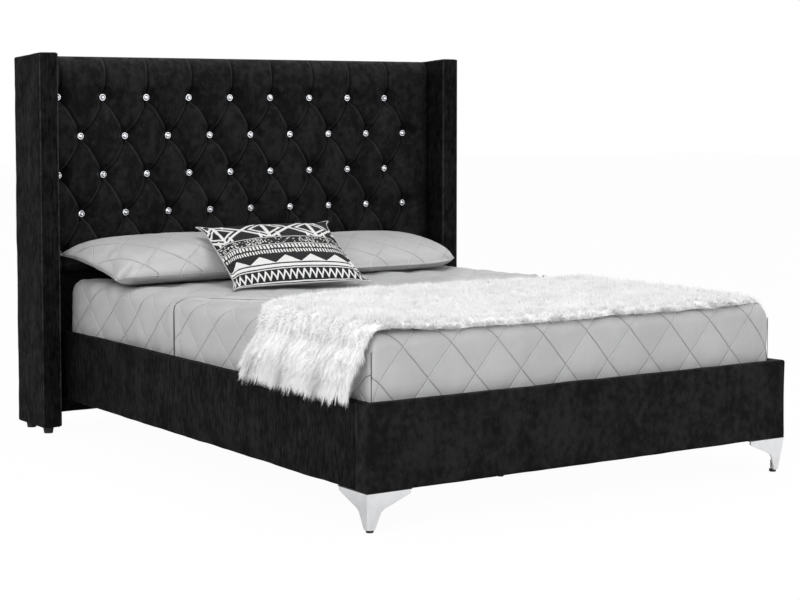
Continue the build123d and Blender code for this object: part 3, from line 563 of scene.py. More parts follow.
@dataclass(frozen=True)
class BandedPrint(Finish):
    """Traditional woven bands in black and off white; the back of the cushion is plain grey."""

    ink: Colour = (0.012, 0.012, 0.013)
    ground: Colour = (0.74, 0.74, 0.73)
    back: Colour = (0.42, 0.42, 0.43)

    def paint(self, graph: Graph) -> bpy.types.Material:
        """The bands, row by row, on the cushion's front.

        Args:
            graph: the material's empty graph.

        Returns:
            The material.
        """
        wobble = graph.noise(graph.place(), 24.0, 2.0) * 0.005 - 0.0025
        cloth = graph.attribute(CLOTH)
        x, y = cloth["X"] + wobble, cloth["Y"] + wobble
        white = self.zigzags(x, y) + self.lines(y) + self.triangles(x, y) + self.hatching(graph, x, y)
        white = white + self.speckles(graph, y) + self.chevrons(x, y)
        fray = graph.noise(graph.place(), 520.0, 2.0)
        white = graph.ramp(white.at_most(1.0) + fray * 0.5, 0.45, 0.85)
        printed = graph.mix(white, self.ink, self.ground)
        colour = graph.mix(cloth["Z"].above(0.0), self.back, printed)
        thread = graph.node("TexWave", {}, {"Vector": graph.place(), "Scale": 330.0, "Distortion": 1.0})
        normal = graph.bump(thread + fray, 0.0005, strength=0.5)
        return graph.surface(Base_Color=colour, Roughness=0.88 - fray * 0.15, Normal=normal, Specular_IOR_Level=0.2)

    def wave(self, value: Field, period: float) -> Field:
        """A triangle wave from 0 to 1."""
        return abs((value / period).fraction() * 2.0 - 1.0)

    def zigzags(self, x: Field, y: Field) -> Field:
        """The dense zigzag band near the lower edge."""
        return abs(y + 0.232 - self.wave(x, 0.023) * 0.05).below(0.0125) * y.between(-0.236, -0.178)

    def lines(self, y: Field) -> Field:
        """The plain white lines between the bands.

        Args:
            y: places up the cloth.

        Returns:
            1 on a line.
        """
        places = ((-0.245, 0.003), (-0.169, 0.0028), (-0.151, 0.0085), (-0.01, 0.002), (0.045, 0.002))
        total = abs(y - places[0][0]).below(places[0][1])
        for place, half in places[1:]:
            total = total + abs(y - place).below(half)
        return total

    def triangles(self, x: Field, y: Field) -> Field:
        """A row of wide solid triangles."""
        return (y + 0.133).below(self.wave(x + 0.02, 0.09) * 0.044) * y.between(-0.135, -0.088)

    def hatching(self, graph: Graph, x: Field, y: Field) -> Field:
        """Two rows of short upright strokes of uneven height.

        Args:
            graph: the material's graph.
            x: places across the cloth.
            y: places up the cloth.

        Returns:
            1 on a stroke.
        """
        uneven = graph.noise(graph.place(), 70.0, 1.0) * 0.012
        upper = self.wave(x, 0.0125).above(0.4) * (y - uneven).between(-0.046, -0.022)
        return upper + self.wave(x + 0.004, 0.01).above(0.45) * (y + uneven).between(-0.066, -0.044)

    def speckles(self, graph: Graph, y: Field) -> Field:
        """A band of small light dots."""
        dots = graph.node("TexVoronoi", {}, {"Vector": graph.place(), "Scale": 95.0, "Randomness": 0.5})
        return dots.below(0.36) * y.between(-0.004, 0.039)

    def chevrons(self, x: Field, y: Field) -> Field:
        """Bold crossed and upright strokes along the upper edge.

        Args:
            x: places across the cloth.
            y: places up the cloth.

        Returns:
            1 on a stroke.
        """
        along, up = self.wave(x + 0.03, 0.17) * 0.085, abs(y - 0.13)
        cross = abs(along - up).below(0.0085) + abs(along - up - 0.03).below(0.007)
        uprights = along.above(0.078) + abs(self.wave(x + 0.03, 0.17) - 0.62).below(0.06) * up.above(0.04)
        return (cross + uprights) * y.between(0.05, 0.262)


def wardrobe() -> dict[Slot, Finish]:
    """The finish of each material slot.

    Returns:
        Finishes by slot.
    """
    return {
        Slot.VELVET: Velvet("black_velvet"),
        Slot.PLYWOOD: Timber("raw_plywood", (0.5, 0.36, 0.21), (0.33, 0.21, 0.11), (5.0, 1.0, 5.0)),
        Slot.PINE: Timber("sawn_pine", (0.62, 0.43, 0.24), (0.42, 0.25, 0.11)),
        Slot.SLAT_WOOD: Timber("planed_slats", (0.66, 0.5, 0.3), (0.5, 0.34, 0.17), (1.2, 20.0, 18.0)),
        Slot.ZINC_STEEL: Metal("zinc_plate", (0.6, 0.6, 0.58), 0.34),
        Slot.CHROME_STEEL: Metal("chrome_plate", (0.84, 0.845, 0.86), 0.12),
        Slot.BLACK_STEEL: Metal("black_powder_coat", (0.016, 0.016, 0.018), 0.42, 0.0, 0.25),
        Slot.BLACK_PLASTIC: Moulded("black_plastic", (0.014, 0.014, 0.015)),
        Slot.CRYSTAL: Stone("cut_crystal"),
        Slot.BUTTON_RIM: Metal("bright_rim", (0.74, 0.75, 0.78), 0.16),
        Slot.WEBBING: Weave("woven_strap", (0.05, 0.05, 0.055), (0.12, 0.12, 0.125), 420.0),
        Slot.BACK_CLOTH: Weave("back_cloth", (0.012, 0.012, 0.013), (0.03, 0.03, 0.032), 700.0),
        Slot.TICKING: Weave("ticking", (0.7, 0.69, 0.66), (0.8, 0.79, 0.77), 500.0),
        Slot.SATIN_GREY: Satin("grey_satin"),
        Slot.CUSHION_PRINT: BandedPrint("banded_print"),
        Slot.WHITE_FUR: Fur("white_fur"),
    }


# Mesh tools

FINE_WELD = 2e-5
SWEPT_WELD = 5e-5


def grid_faces(rows: int, columns: int, start: int = 0) -> list[tuple[int, ...]]:
    """Quads of a grid whose points are stored row by row.

    Args:
        rows: how many rows of points.
        columns: how many points in a row.
        start: the first point's number.

    Returns:
        The quads.
    """
    base = start + np.arange(rows - 1)[:, None] * columns + np.arange(columns - 1)[None, :]
    quads = np.stack([base, base + 1, base + columns + 1, base + columns], axis=-1)
    return [tuple(quad) for quad in quads.reshape(-1, 4).tolist()]


def swept_faces(rings: int, count: int) -> list[tuple[int, ...]]:
    """Faces of a closed profile that is swept along a path, with both ends shut."""
    last = (rings - 1) * count
    return grid_faces(rings, count) + [tuple(range(count - 1)), tuple(range(last, last + count - 1))]


def clamp(values: Array) -> Array:
    """The values kept between 0 and 1."""
    return np.clip(values, 0, 1)


def ridge(values: Array, place: float, width: float) -> Array:
    """A smooth ridge over the values: 1 at its place, and under a half one width away."""
    return np.exp(-(((values - place) / width) ** 2))


def make_object(name: str, points: Array, faces: Sequence[Sequence[int]]) -> bpy.types.Object:
    """A smooth-shaded mesh object in the scene.

    Args:
        name: the piece's name.
        points: its points, three numbers each.
        faces: the numbers of each face's points.

    Returns:
        The new object.
    """
    mesh = bpy.data.meshes.new(name)
    mesh.from_pydata(np.asarray(points).reshape(-1, 3).tolist(), [], list(faces))
    mesh.update()
    mesh.shade_smooth()
    made = bpy.data.objects.new(name, mesh)
    bpy.context.scene.collection.objects.link(made)
    return made


def weld(piece: bpy.types.Object, distance: float = 1e-4) -> bpy.types.Object:
    """Joins points that coincide, drops faces without area and turns all faces outwards.

    Args:
        piece: the piece to mend.
        distance: how near such points lie.

    Returns:
        The piece.
    """
    work = bmesh.new()
    work.from_mesh(piece.data)
    bmesh.ops.remove_doubles(work, verts=work.verts, dist=distance)
    bmesh.ops.dissolve_degenerate(work, edges=work.edges, dist=distance)
    bmesh.ops.recalc_face_normals(work, faces=work.faces)
    work.to_mesh(piece.data)
    work.free()
    piece.data.shade_smooth()
    return piece


def vectors_of(items: bpy.types.bpy_prop_collection, key: str) -> Array:
    """One vector of each item.

    Args:
        items: the mesh's points, normals or attribute values.
        key: the vector's name.

    Returns:
        The vectors as rows.
    """
    flat = np.empty(len(items) * 3)
    items.foreach_get(key, flat)
    return flat.reshape(-1, 3)


def points_of(piece: bpy.types.Object) -> Array:
    """The mesh's points as an array."""
    return vectors_of(piece.data.vertices, "co")


def set_points(piece: bpy.types.Object, points: Array) -> None:
    """Writes the mesh's points."""
    piece.data.vertices.foreach_set("co", np.ascontiguousarray(points).ravel())
    piece.data.update()


def normals_of(piece: bpy.types.Object) -> Array:
    """The mesh's point normals as an array."""
    return vectors_of(piece.data.vertex_normals, "vector")


def set_attribute(piece: bpy.types.Object, name: str, values: Array) -> None:
    """Stores one vector or number for each point.

    Args:
        piece: the piece.
        name: the attribute's name.
        values: a row of three numbers, or one, for each point.
    """
    vector = values.ndim == 2
    made = piece.data.attributes.new(name, "FLOAT_VECTOR" if vector else "FLOAT", "POINT")
    made.data.foreach_set("vector" if vector else "value", np.ascontiguousarray(values).ravel())


@dataclass(frozen=True)
class Ripple:
    """A smooth seeded field of a few plane waves, about -1 to 1."""

    wavelength: float
    seed: int
    count: int = 9
    stretch: tuple[float, float, float] = (1.0, 1.0, 1.0)

    def __call__(self, points: Array) -> Array:
        """The field's values at some points.

        Args:
            points: the points, three numbers each.

        Returns:
            One value for each point.
        """
        rng = np.random.default_rng(self.seed)
        directions = rng.normal(size=(self.count, 3))
        directions /= np.linalg.norm(directions, axis=1, keepdims=True)
        lengths = self.wavelength * rng.uniform(0.6, 1.7, self.count)
        waves = directions * (2 * math.pi / lengths)[:, None] * np.asarray(self.stretch)
        phases = rng.uniform(0, 2 * math.pi, self.count)
        return np.sin(points @ waves.T + phases).sum(axis=-1) / math.sqrt(self.count * 2)


def rumple(piece: bpy.types.Object, ripple: Ripple, depth: float) -> None:
    """Moves each point along its normal by a seeded field."""
    points = points_of(piece)
    set_points(piece, points + normals_of(piece) * (ripple(points) * depth)[:, None])


def edge_spaced(low: float, high: float, radius: float, step: float) -> Array:
    """Places from low to high, closer together over the rounding at each end.

    Args:
        low: the first place.
        high: the last place.
        radius: the rounding.
        step: the spacing on the flat.

    Returns:
        The places in order.
    """
    middle = np.linspace(low + radius, high - radius, max(2, int((high - low - 2 * radius) / step) + 1))
    bend = radius * (1 - np.cos(np.linspace(0, math.pi / 2, 5)[:-1]))
    return np.concatenate([low + bend, middle, (high - bend)[::-1]])


def soft_block(name: str, low: Array, high: Array, radius: float, step: float) -> bpy.types.Object:
    """A closed box with rounded edges and a dense even mesh.

    Args:
        name: the piece's name.
        low: its lowest corner.
        high: its highest corner.
        radius: the rounding of every edge.
        step: the mesh spacing on the flats.

    Returns:
        The welded piece.
    """
    low, high = np.asarray(low, float), np.asarray(high, float)
    spans = [edge_spaced(low[axis], high[axis], radius, step) for axis in range(3)]
    points, faces, start = [], [], 0
    for axis in range(3):
        first, second = [other for other in range(3) if other != axis]
        for level in (low[axis], high[axis]):
            side = np.empty((len(spans[first]), len(spans[second]), 3))
            side[..., first] = spans[first][:, None]
            side[..., second] = spans[second][None, :]
            side[..., axis] = level
            faces += grid_faces(side.shape[0], side.shape[1], start)
            points.append(side.reshape(-1, 3))
            start += side.shape[0] * side.shape[1]
    box = np.concatenate(points)
    core = np.clip(box, low + radius, high - radius)
    out = box - core
    box = core + radius * out / np.linalg.norm(out, axis=1, keepdims=True)
    return weld(make_object(name, box, faces), FINE_WELD)


def upright(x: float, y: float, levels: Array) -> Array:
    """Points one above the other."""
    return np.stack([np.full(len(levels), x), np.full(len(levels), y), levels], axis=1)


def tube(name: str, path: Array, radius: float, sides: int = 8, closed: bool = False) -> bpy.types.Object:
    """A round cord along a path of points.

    Args:
        name: the piece's name.
        path: its middle line.
        radius: half its thickness.
        sides: the sides of its section.
        closed: whether the path is a ring.

    Returns:
        The welded cord.
    """
    path = np.asarray(path, float)
    ahead = np.roll(path, -1, axis=0) - path
    behind = path - np.roll(path, 1, axis=0)
    if not closed:
        ahead[-1], behind[0] = behind[-1], ahead[0]
    along = ahead / np.linalg.norm(ahead, axis=1)[:, None] + behind / np.linalg.norm(behind, axis=1)[:, None]
    along /= np.linalg.norm(along, axis=1)[:, None]
    helper = np.where(np.abs(along[:, 2:3]) > 0.8, [[1.0, 0.0, 0.0]], [[0.0, 0.0, 1.0]])
    across = np.cross(along, helper)
    across /= np.linalg.norm(across, axis=1)[:, None]
    up = np.cross(across, along)
    turn = np.linspace(0, 2 * math.pi, sides + 1)[None, :, None]
    rings = path[:, None] + radius * (np.cos(turn) * across[:, None] + np.sin(turn) * up[:, None])
    if closed:
        rings = np.concatenate([rings, rings[:1]])
    faces = grid_faces(rings.shape[0], sides + 1)
    if not closed:
        last = (rings.shape[0] - 1) * (sides + 1)
        faces += [tuple(range(sides))[::-1], tuple(range(last, last + sides))]
    return weld(make_object(name, rings, faces), radius * 1e-3)


class Dresser:
    """Gives the pieces their body, slot and material."""

    def __init__(self) -> None:
        """Makes the slots' materials and the few that only some pieces wear."""
        self.materials = {slot: finish.material() for slot, finish in wardrobe().items()}
        # velvet for the tufted pad, with painted shade and a painted highlight along its pleats
        self.tufted_velvet = Velvet("tufted_velvet", tufted=True).material()
        # a darker, less glossy copy of the velvet for the rails and wings: its stronger upright streaks are the
        # pile's own, its darker tone is painted shade
        self.shaded_side_velvet = Velvet(
            "shaded_side_velvet", (0.0004, 0.0004, 0.0005), (0.0135, 0.0133, 0.0144), streaks=0.42, gloss=0.035, bloom=0.004
        ).material()
        # a lighter copy of the velvet for the welts: painted highlight on the piping
        self.welt_velvet_painted_highlight = Velvet("welt_velvet_painted_highlight", (0.008, 0.008, 0.0085), (0.04, 0.04, 0.042)).material()
        # dark cord cloth: real dark seams at the coverlet's foot corners, and painted shadow where the coverlet's
        # edge meets the sheet's roll
        self.dark_seam_and_shadow_cord = Weave("dark_seam_and_shadow_cord", (0.03, 0.03, 0.032), (0.07, 0.07, 0.072)).material()

    def dress(
        self, piece: bpy.types.Object, body: Body, slot: Slot, *nodes: str,
        finish: bpy.types.Material | None = None,
    ) -> None:
        """Finishes one piece.

        Args:
            piece: the new piece.
            body: the CAD body that it rides on.
            slot: the record's slot for its finish.
            nodes: CAD nodes that it stands for.
            finish: a material of its own, where it doesn't wear the slot's.
        """
        piece.data.materials.clear()
        piece.data.materials.append(self.materials[slot])
        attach(piece, body.value)
        if nodes:
            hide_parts(*nodes)
        if finish:
            piece.data.materials[0] = finish
        log.info("%s: %d faces", piece.name, len(piece.data.polygons))

    def dress_frame(self) -> None:
        """Gives every CAD node its slot's material."""
        for part in frame["record"]["subparts"]:
            for holder in frame["nodes"][part["node"]].material_slots:
                holder.material = self.materials[Slot(part["material_slot"])]


def corners(node: str) -> tuple[Array, Array]:
    """A CAD node's lowest and highest corners, as arrays."""
    low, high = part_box(node)
    return np.array(low), np.array(high)


# The upholstered frame


@dataclass
class SoftPanels:
    """The velvet covers over the rails, wings and headboard edges."""

    dresser: Dresser
    rounding: float = 0.006
    step: float = 0.014
    slack: float = 0.0011
    welt: float = 0.0026
    sink: float = 0.0006
    slope: float = 14 / 234
    cloth_inset: float = 0.0013
    cloth_slack: float = 0.0006

    def build(self) -> None:
        """Makes every velvet panel but the tufted pad."""
        for side in ("left", "right"):
            self.rail(side)
            self.wing(side)
        self.footboard()
        self.top_wrap()
        self.lower_pad()
        self.back_cloth()

    def block(self, name: str, node: str, sink: float, radius: float) -> bpy.types.Object:
        """A rumpled soft block over one CAD cover, closed just under the timber inside it.

        Args:
            name: the piece's name.
            node: the CAD cover.
            sink: how far under the cover it ends.
            radius: the rounding of its edges.

        Returns:
            The piece.
        """
        low, high = corners(node)
        low[2] -= sink
        piece = soft_block(name, low, high, radius, self.step)
        self.loosen(piece, len(name), len(name) + 3)
        return piece

    def loosen(self, piece: bpy.types.Object, broad: int, fine: int) -> None:
        """Lets the velvet swell a little, with one seed for broad and one for fine waves."""
        rumple(piece, Ripple(0.22, broad), self.slack)
        rumple(piece, Ripple(0.07, fine), self.slack * 0.4)

    def rail(self, side: str) -> None:
        """One side rail.

        Args:
            side: left or right.
        """
        piece = self.block(f"{side}_rail_velvet", f"{side}_rail_cover", self.sink, self.rounding)
        # the rail wears the darker side velvet, painted shade
        finish = self.dresser.shaded_side_velvet
        self.dresser.dress(piece, Body.FRAME, Slot.VELVET, f"{side}_rail_cover", finish=finish)

    def wing(self, side: str) -> None:
        """One wing, its top falling to the back, with a welt down its two front edges.

        Args:
            side: left or right.
        """
        node = f"{side}_wing_cover"
        piece = self.block(f"{side}_wing_velvet", node, self.sink, self.rounding + 0.002)
        low, high = corners(node)
        drop = self.slope * (high[1] - low[1])
        points = points_of(piece)
        back = (points[:, 1] - low[1]) / (high[1] - low[1])
        points[:, 2] -= drop * back * clamp((points[:, 2] - low[2]) / (high[2] - low[2])) ** 4
        set_points(piece, points)
        # the wing wears the darker side velvet, painted shade
        self.dresser.dress(piece, Body.FRAME, Slot.VELVET, node, finish=self.dresser.shaded_side_velvet)
        inset = self.rounding * 0.4
        levels = np.linspace(low[2] + 0.004, high[2] - 0.003, 60)
        for label, x in (("a", low[0] + inset), ("b", high[0] - inset)):
            cord = tube(f"{side}_wing_welt_{label}", upright(x, low[1] + inset * 0.6, levels), self.welt)
            # the welts wear the lighter velvet, a painted highlight
            self.dresser.dress(cord, Body.FRAME, Slot.VELVET, finish=self.dresser.welt_velvet_painted_highlight)

    def footboard(self) -> None:
        """The footboard and its two short returns, as one swept cover."""
        low, high = corners("footboard_cover")
        thick = corners("left_rail_cover")[1][0] - low[0]
        outer, inner = self.u_path(low, high, thick)
        profile = self.section(low[2] - self.sink, high[2], thick)
        rings = outer[:, None] + (inner - outer)[:, None] * profile[None, :, :1]
        levels = np.broadcast_to(profile[None, :, 1:], (*rings.shape[:2], 1))
        points = np.concatenate([rings, levels], axis=-1)
        faces = swept_faces(len(outer), len(profile))
        piece = weld(make_object("footboard_velvet", points, faces), SWEPT_WELD)
        self.loosen(piece, 5, 6)
        self.dresser.dress(piece, Body.FRAME, Slot.VELVET, "footboard_cover")

    def u_path(self, low: Array, high: Array, thick: float) -> tuple[Array, Array]:
        """Matching points of the outer and inner edge, from one return's end to the other's.

        Args:
            low: the cover's lowest corner.
            high: its highest corner.
            thick: its thickness.

        Returns:
            The outer points and the inner points.
        """
        radius = self.rounding * 1.3
        side = np.linspace(high[1], low[1] + thick, 5)
        turn = np.linspace(0, math.pi / 2, 7)
        corner = np.stack([low[0] + radius - radius * np.cos(turn), low[1] + radius - radius * np.sin(turn)], axis=1)
        run = np.linspace(low[0] + thick, 0, int(-low[0] / self.step) + 1)[1:]
        outer = np.concatenate([
            np.stack([np.full(5, low[0]), side], axis=1), corner,
            [[low[0] + thick, low[1]]], np.stack([run, np.full(len(run), low[1])], axis=1),
        ])
        inner = np.concatenate([
            np.stack([np.full(5, low[0] + thick), side], axis=1),
            np.tile([[low[0] + thick, low[1] + thick]], (8, 1)),
            np.stack([run, np.full(len(run), low[1] + thick)], axis=1),
        ])
        flip = np.array([-1.0, 1.0])
        outer = np.concatenate([outer, outer[-2::-1] * flip])
        return outer, np.concatenate([inner, inner[-2::-1] * flip])

    def section(self, bottom: float, top: float, thick: float) -> Array:
        """The cover's closed profile: the share across the board, and the height.

        Args:
            bottom: its lowest height.
            top: its highest.
            thick: the cover's thickness.

        Returns:
            Rows of share and height.
        """
        radius = self.rounding
        share = radius / thick
        rise = np.linspace(bottom, top - radius, int((top - bottom) / self.step) + 1)
        turn = np.linspace(0, math.pi / 2, 6)[1:-1]
        up = np.stack([share - share * np.cos(turn), top - radius + radius * np.sin(turn)], axis=1)
        flat = np.array([[share, top], [0.5, top], [1 - share, top]])
        down = up[::-1] * [-1, 1] + [1, 0]
        wall = np.stack([np.zeros(len(rise)), rise], axis=1)
        back = wall[::-1] + [1, 0]
        return np.concatenate([wall, up, flat, down, back, [[0.5, bottom], [0.0, bottom]]])

    def top_wrap(self) -> None:
        """The strip over the headboard's top edge and down its back."""
        low, high = corners("headboard_top_wrap")
        back_low = corners("headboard_back_cloth")[0][1]
        profile = np.array([
            [low[1], high[2] - 0.005], [low[1] + 0.004, high[2]], [(low[1] + high[1]) / 2, high[2] + 0.0008],
            [high[1] - 0.006, high[2]], [high[1] - 0.0015, high[2] - 0.002], [high[1], high[2] - 0.007],
            [high[1], low[2] + 0.002], [high[1] - 0.001, low[2]], [back_low + 0.0003, low[2]],
            [back_low + 0.0003, high[2] - 0.0055],
        ])
        run = np.linspace(low[0], high[0], 110)
        profile = np.concatenate([profile, profile[:1]])
        points = np.empty((len(run), len(profile), 3))
        points[..., 0] = run[:, None]
        points[..., 1:] = profile[None]
        faces = swept_faces(len(run), len(profile))
        piece = weld(make_object("headboard_top_velvet", points, faces), SWEPT_WELD)
        rumple(piece, Ripple(0.16, 8), 0.0005)
        self.dresser.dress(piece, Body.FRAME, Slot.VELVET, "headboard_top_wrap")

    def lower_pad(self) -> None:
        """The plain pad behind the mattress."""
        piece = self.block("lower_pad_velvet", "lower_pad", 0.0, self.rounding)
        self.dresser.dress(piece, Body.FRAME, Slot.VELVET, "lower_pad")

    def back_cloth(self) -> None:
        """The thin cloth stretched over the back, with its staples."""
        low, high = corners("headboard_back_cloth")
        across = np.linspace(low[0], high[0], 120)
        up = np.linspace(low[2], high[2], 90)
        points = np.zeros((len(up), len(across), 3))
        points[..., 0], points[..., 2] = across[None, :], up[:, None]
        depth = np.clip(np.abs(Ripple(0.35, 21)(points)), 0, 1.5) * self.cloth_slack
        points[..., 1] = high[1] - self.cloth_inset + depth
        piece = make_object("back_dust_cloth", points, grid_faces(len(up), len(across)))
        self.dresser.dress(piece, Body.FRAME, Slot.BACK_CLOTH, "headboard_back_cloth")
        size = high - low
        size[0]
        size[2]
        self.staples(low, high)

    def staples(self, low: Array, high: Array) -> None:
        """A row of steel staples round the edge of the back cloth.

        Args:
            low: the cloth's lowest corner.
            high: its highest corner.
        """
        inset, gap, crown, wire = 0.018, 0.09, 0.0055, 0.0005
        columns, levels = np.arange(low[0] + gap, high[0], gap), np.arange(low[2] + gap, high[2], gap)
        places = [(x, z, True) for z in (low[2] + inset, high[2] - inset) for x in columns]
        places += [(x, z, False) for x in (low[0] + inset, high[0] - inset) for z in levels]
        points, faces = [], []
        for x, z, level in places:
            half = np.array([crown, wire] if level else [wire, crown])
            start = len(points)
            for depth in (high[1] - 0.001, high[1] - 0.0001):
                for dx, dz in ((-1, -1), (1, -1), (1, 1), (-1, 1)):
                    points.append((x + dx * half[0], depth, z + dz * half[1]))
            sides = [(0, 1, 5, 4), (1, 2, 6, 5), (2, 3, 7, 6), (3, 0, 4, 7), (4, 5, 6, 7), (3, 2, 1, 0)]
            faces += [tuple(start + corner for corner in side) for side in sides]
        piece = make_object("back_staples", np.array(points), faces)
        self.dresser.dress(piece, Body.FRAME, Slot.ZINC_STEEL)


@dataclass
class TuftedPad:
    """The headboard's deep buttoned pad: diamond puffs between pleats that meet at the buttons."""

    dresser: Dresser
    pitch: float = 0.18
    row_pitch: float = 0.144
    rows: int = 5
    puff: float = 0.047
    pleat: float = 0.03
    seat: float = 0.0125
    well: float = 0.03
    edge: float = 0.03
    top_fall: float = 0.025
    reach: float = 0.08
    roll: float = 0.012
    foot_roll: float = 0.05
    foot_bend: float = 0.045
    foot_fall: float = 0.01
    side_roll: float = 0.05
    rim_share: float = 0.72
    bow: float = 0.005
    # widths of the painted shade line in each crease and of the painted highlight on its lit side
    crease_shade_width: float = 0.005
    lit_side: tuple[float, float] = (0.007, 0.003)
    foam: float = 0.0016
    crinkle: float = 0.0017
    crinkle_ring: tuple[float, float] = (0.03, 0.022)
    step: float = 0.0036

    def build(self) -> None:
        """Makes the pad in place of its CAD node."""
        low, high = corners("tufted_pad")
        cups_low, cups_high = corners("button_cups")
        self.low, self.high = low, high
        self.face = cups_high[1]
        radius = (cups_high[2] - cups_low[2] - (self.rows - 1) * self.row_pitch) / 2
        self.first = cups_low[0] + radius
        self.top_row = cups_high[2] - radius
        self.per_row = 1 + round((cups_high[0] - radius - self.first - self.pitch / 2) / self.pitch)
        across = np.linspace(low[0], high[0], int((high[0] - low[0]) / self.step))
        turn = np.linspace(0, math.pi / 2, 46)[1:]
        roll_start = self.top_row + self.roll
        body = np.linspace(low[2] + self.foot_roll, roll_start, int((roll_start - low[2]) / self.step))
        top = roll_start + (high[2] - roll_start) * np.sin(turn)
        foot = low[2] + self.foot_roll * (1 - np.sin(turn[::-3]))
        up = np.concatenate([foot, body, top])
        points = np.empty((len(up), len(across), 3))
        points[..., 0], points[..., 2] = across[None, :], up[:, None]
        height, fold = self.height(points[..., 0], points[..., 2])
        points[..., 1] = self.face - height
        front = points.reshape(-1, 3)
        rear = np.array([[x, high[1], z] for z in (low[2], high[2]) for x in (low[0], high[0])])
        faces = grid_faces(len(up), len(across)) + self.closing(len(up), len(across))
        piece = make_object("tufted_velvet", np.concatenate([front, rear]), faces)
        # stores the painted crease shade and painted highlight for the tufted velvet
        set_attribute(piece, PLEAT_SHADE_AND_HIGHLIGHT, np.concatenate([fold.reshape(-1, 3), np.zeros((4, 3))]))
        self.dresser.dress(piece, Body.FRAME, Slot.VELVET, "tufted_pad", finish=self.dresser.tufted_velvet)

    def closing(self, rows: int, columns: int) -> list[tuple[int, ...]]:
        """The pad's back and its four thin sides.

        Args:
            rows: rows of points up the pad.
            columns: points in a row.

        Returns:
            The faces, on four more points at the back's corners.
        """
        count = rows * columns
        bottom = tuple(range(columns))
        top = tuple(range(count - columns, count))
        left = tuple(range(0, count, columns))
        right = tuple(range(columns - 1, count, columns))
        a, b, c, d = count, count + 1, count + 2, count + 3
        return [(a, c, d, b), (*bottom[::-1], a, b), (*top, d, c), (*left, c, a), (*right[::-1], b, d)]

    def buttons(self) -> Array:
        """X and Z of each button, row by row.

        Returns:
            One row for each button.
        """
        places = []
        for row in range(self.rows):
            shift = self.pitch / 2 if row % 2 else 0.0
            for index in range(self.per_row):
                places.append((self.first + shift + index * self.pitch, self.top_row - row * self.row_pitch))
        return np.array(places)

    def pleats(self) -> list[tuple[Array, Array, float]]:
        """The lines that the pleats follow: start, end, and 1 where the far end is a button too.

        Returns:
            The lines.
        """
        places = self.buttons().reshape(self.rows, self.per_row, 2)
        lines = []
        for row in range(self.rows - 1):
            for start in places[row]:
                for end in places[row + 1]:
                    if abs(abs(start[0] - end[0]) - self.pitch / 2) < 1e-3:
                        lines.append((start, end, 1.0))
        for start in places[0]:
            lines.append((start, np.array([start[0] + 0.004, self.high[2] + 0.02]), 0.0))
        for start in places[-1]:
            lines.append((start, np.array([start[0], self.low[2] - 0.02]), 0.0))
        return lines

    def height(self, x: Array, z: Array) -> tuple[Array, Array]:
        """The puffs between the pleats, drawn down to the buttons.

        Args:
            x: places across the pad.
            z: places up the pad.

        Returns:
            How far the pad stands in front of the buttons' plane, and its painted crease shade and painted
            highlight.
        """
        nearest = np.full(x.shape, 1e9)
        valley, beside = np.zeros(x.shape), np.zeros(x.shape)
        for index, (start, end, closed) in enumerate(self.pleats()):
            run = end - start
            share = clamp(((x - start[0]) * run[0] + (z - start[1]) * run[1]) / (run @ run))
            bow = self.bow * math.sin(index * 2.4) * np.sin(math.pi * share)
            gap = np.hypot(x - start[0] - share * run[0] - bow, z - start[1] - share * run[1])
            rise = np.sin(math.pi * share) if closed else np.sin(math.pi / 2 * np.minimum(1, share * 1.4))
            closer = gap < nearest
            nearest = np.where(closer, gap, nearest)
            valley = np.where(closer, self.pleat * rise, valley)
            beside = np.where(closer, x - start[0] - share * run[0] - bow, beside)
        dome = np.sqrt(1 - (1 - np.minimum(nearest / self.reach, 1)) ** 2) ** 0.92
        height = valley + (self.puff - valley) * dome
        height += self.wrinkles(x, z) * dome
        height *= self.seats(x, z)
        # painted shade along each crease, and a painted highlight on the crease's left side, which faces the key
        # lamp
        fold = np.zeros((*x.shape, 3))
        fold[..., 0] = ridge(nearest, 0.0, self.crease_shade_width)
        fold[..., 1] = ridge(nearest, *self.lit_side) * (beside < 0)
        return self.edges(height, x, z), fold

    def seats(self, x: Array, z: Array) -> Array:
        """The share of the height that is left round each button, which is drawn down to its seat.

        Args:
            x: places across the pad.
            z: places up the pad.

        Returns:
            The shares.
        """
        nearest = np.full(x.shape, 1e9)
        for bx, bz in self.buttons():
            nearest = np.minimum(nearest, np.hypot(x - bx, z - bz))
        return clamp((nearest - self.seat) / self.well) ** 0.75

    def wrinkles(self, x: Array, z: Array) -> Array:
        """Small folds that run out from each button, and the foam's slow unevenness.

        Args:
            x: places across the pad.
            z: places up the pad.

        Returns:
            The heights to add.
        """
        total = Ripple(0.11, 31)(np.stack([x, np.zeros(x.shape), z], axis=-1)) * self.foam
        for index, (bx, bz) in enumerate(self.buttons()):
            dx, dz = x - bx, z - bz
            fold = np.sin(np.arctan2(dz, dx) * 9 + index * 1.7) * ridge(np.hypot(dx, dz), *self.crinkle_ring)
            total += fold * self.crinkle
        return total

    def edges(self, height: Array, x: Array, z: Array) -> Array:
        """Rolls the pad back at its top, bottom and sides.

        Args:
            height: the heights so far.
            x: places across the pad.
            z: places up the pad.

        Returns:
            The new heights.
        """
        start = self.top_row + self.roll
        share = clamp((z - start) / (self.high[2] - start))
        height = -self.top_fall + (height + self.top_fall) * np.sqrt(1 - share**2.6)
        low = clamp((self.low[2] + self.foot_bend - z) / self.foot_bend)
        height = -self.foot_fall + (height + self.foot_fall) * np.sqrt(1 - low**2.2)
        middle = (self.low[0] + self.high[0]) / 2
        side = clamp((self.high[0] - np.abs(x - middle)) / self.side_roll)
        rim = self.edge * self.rim_share
        limit = rim + (self.puff - rim) * np.sqrt(1 - (1 - side) ** 2)
        return np.minimum(height, limit)


# The bed's cloth

EDGE_BEND = 0.034


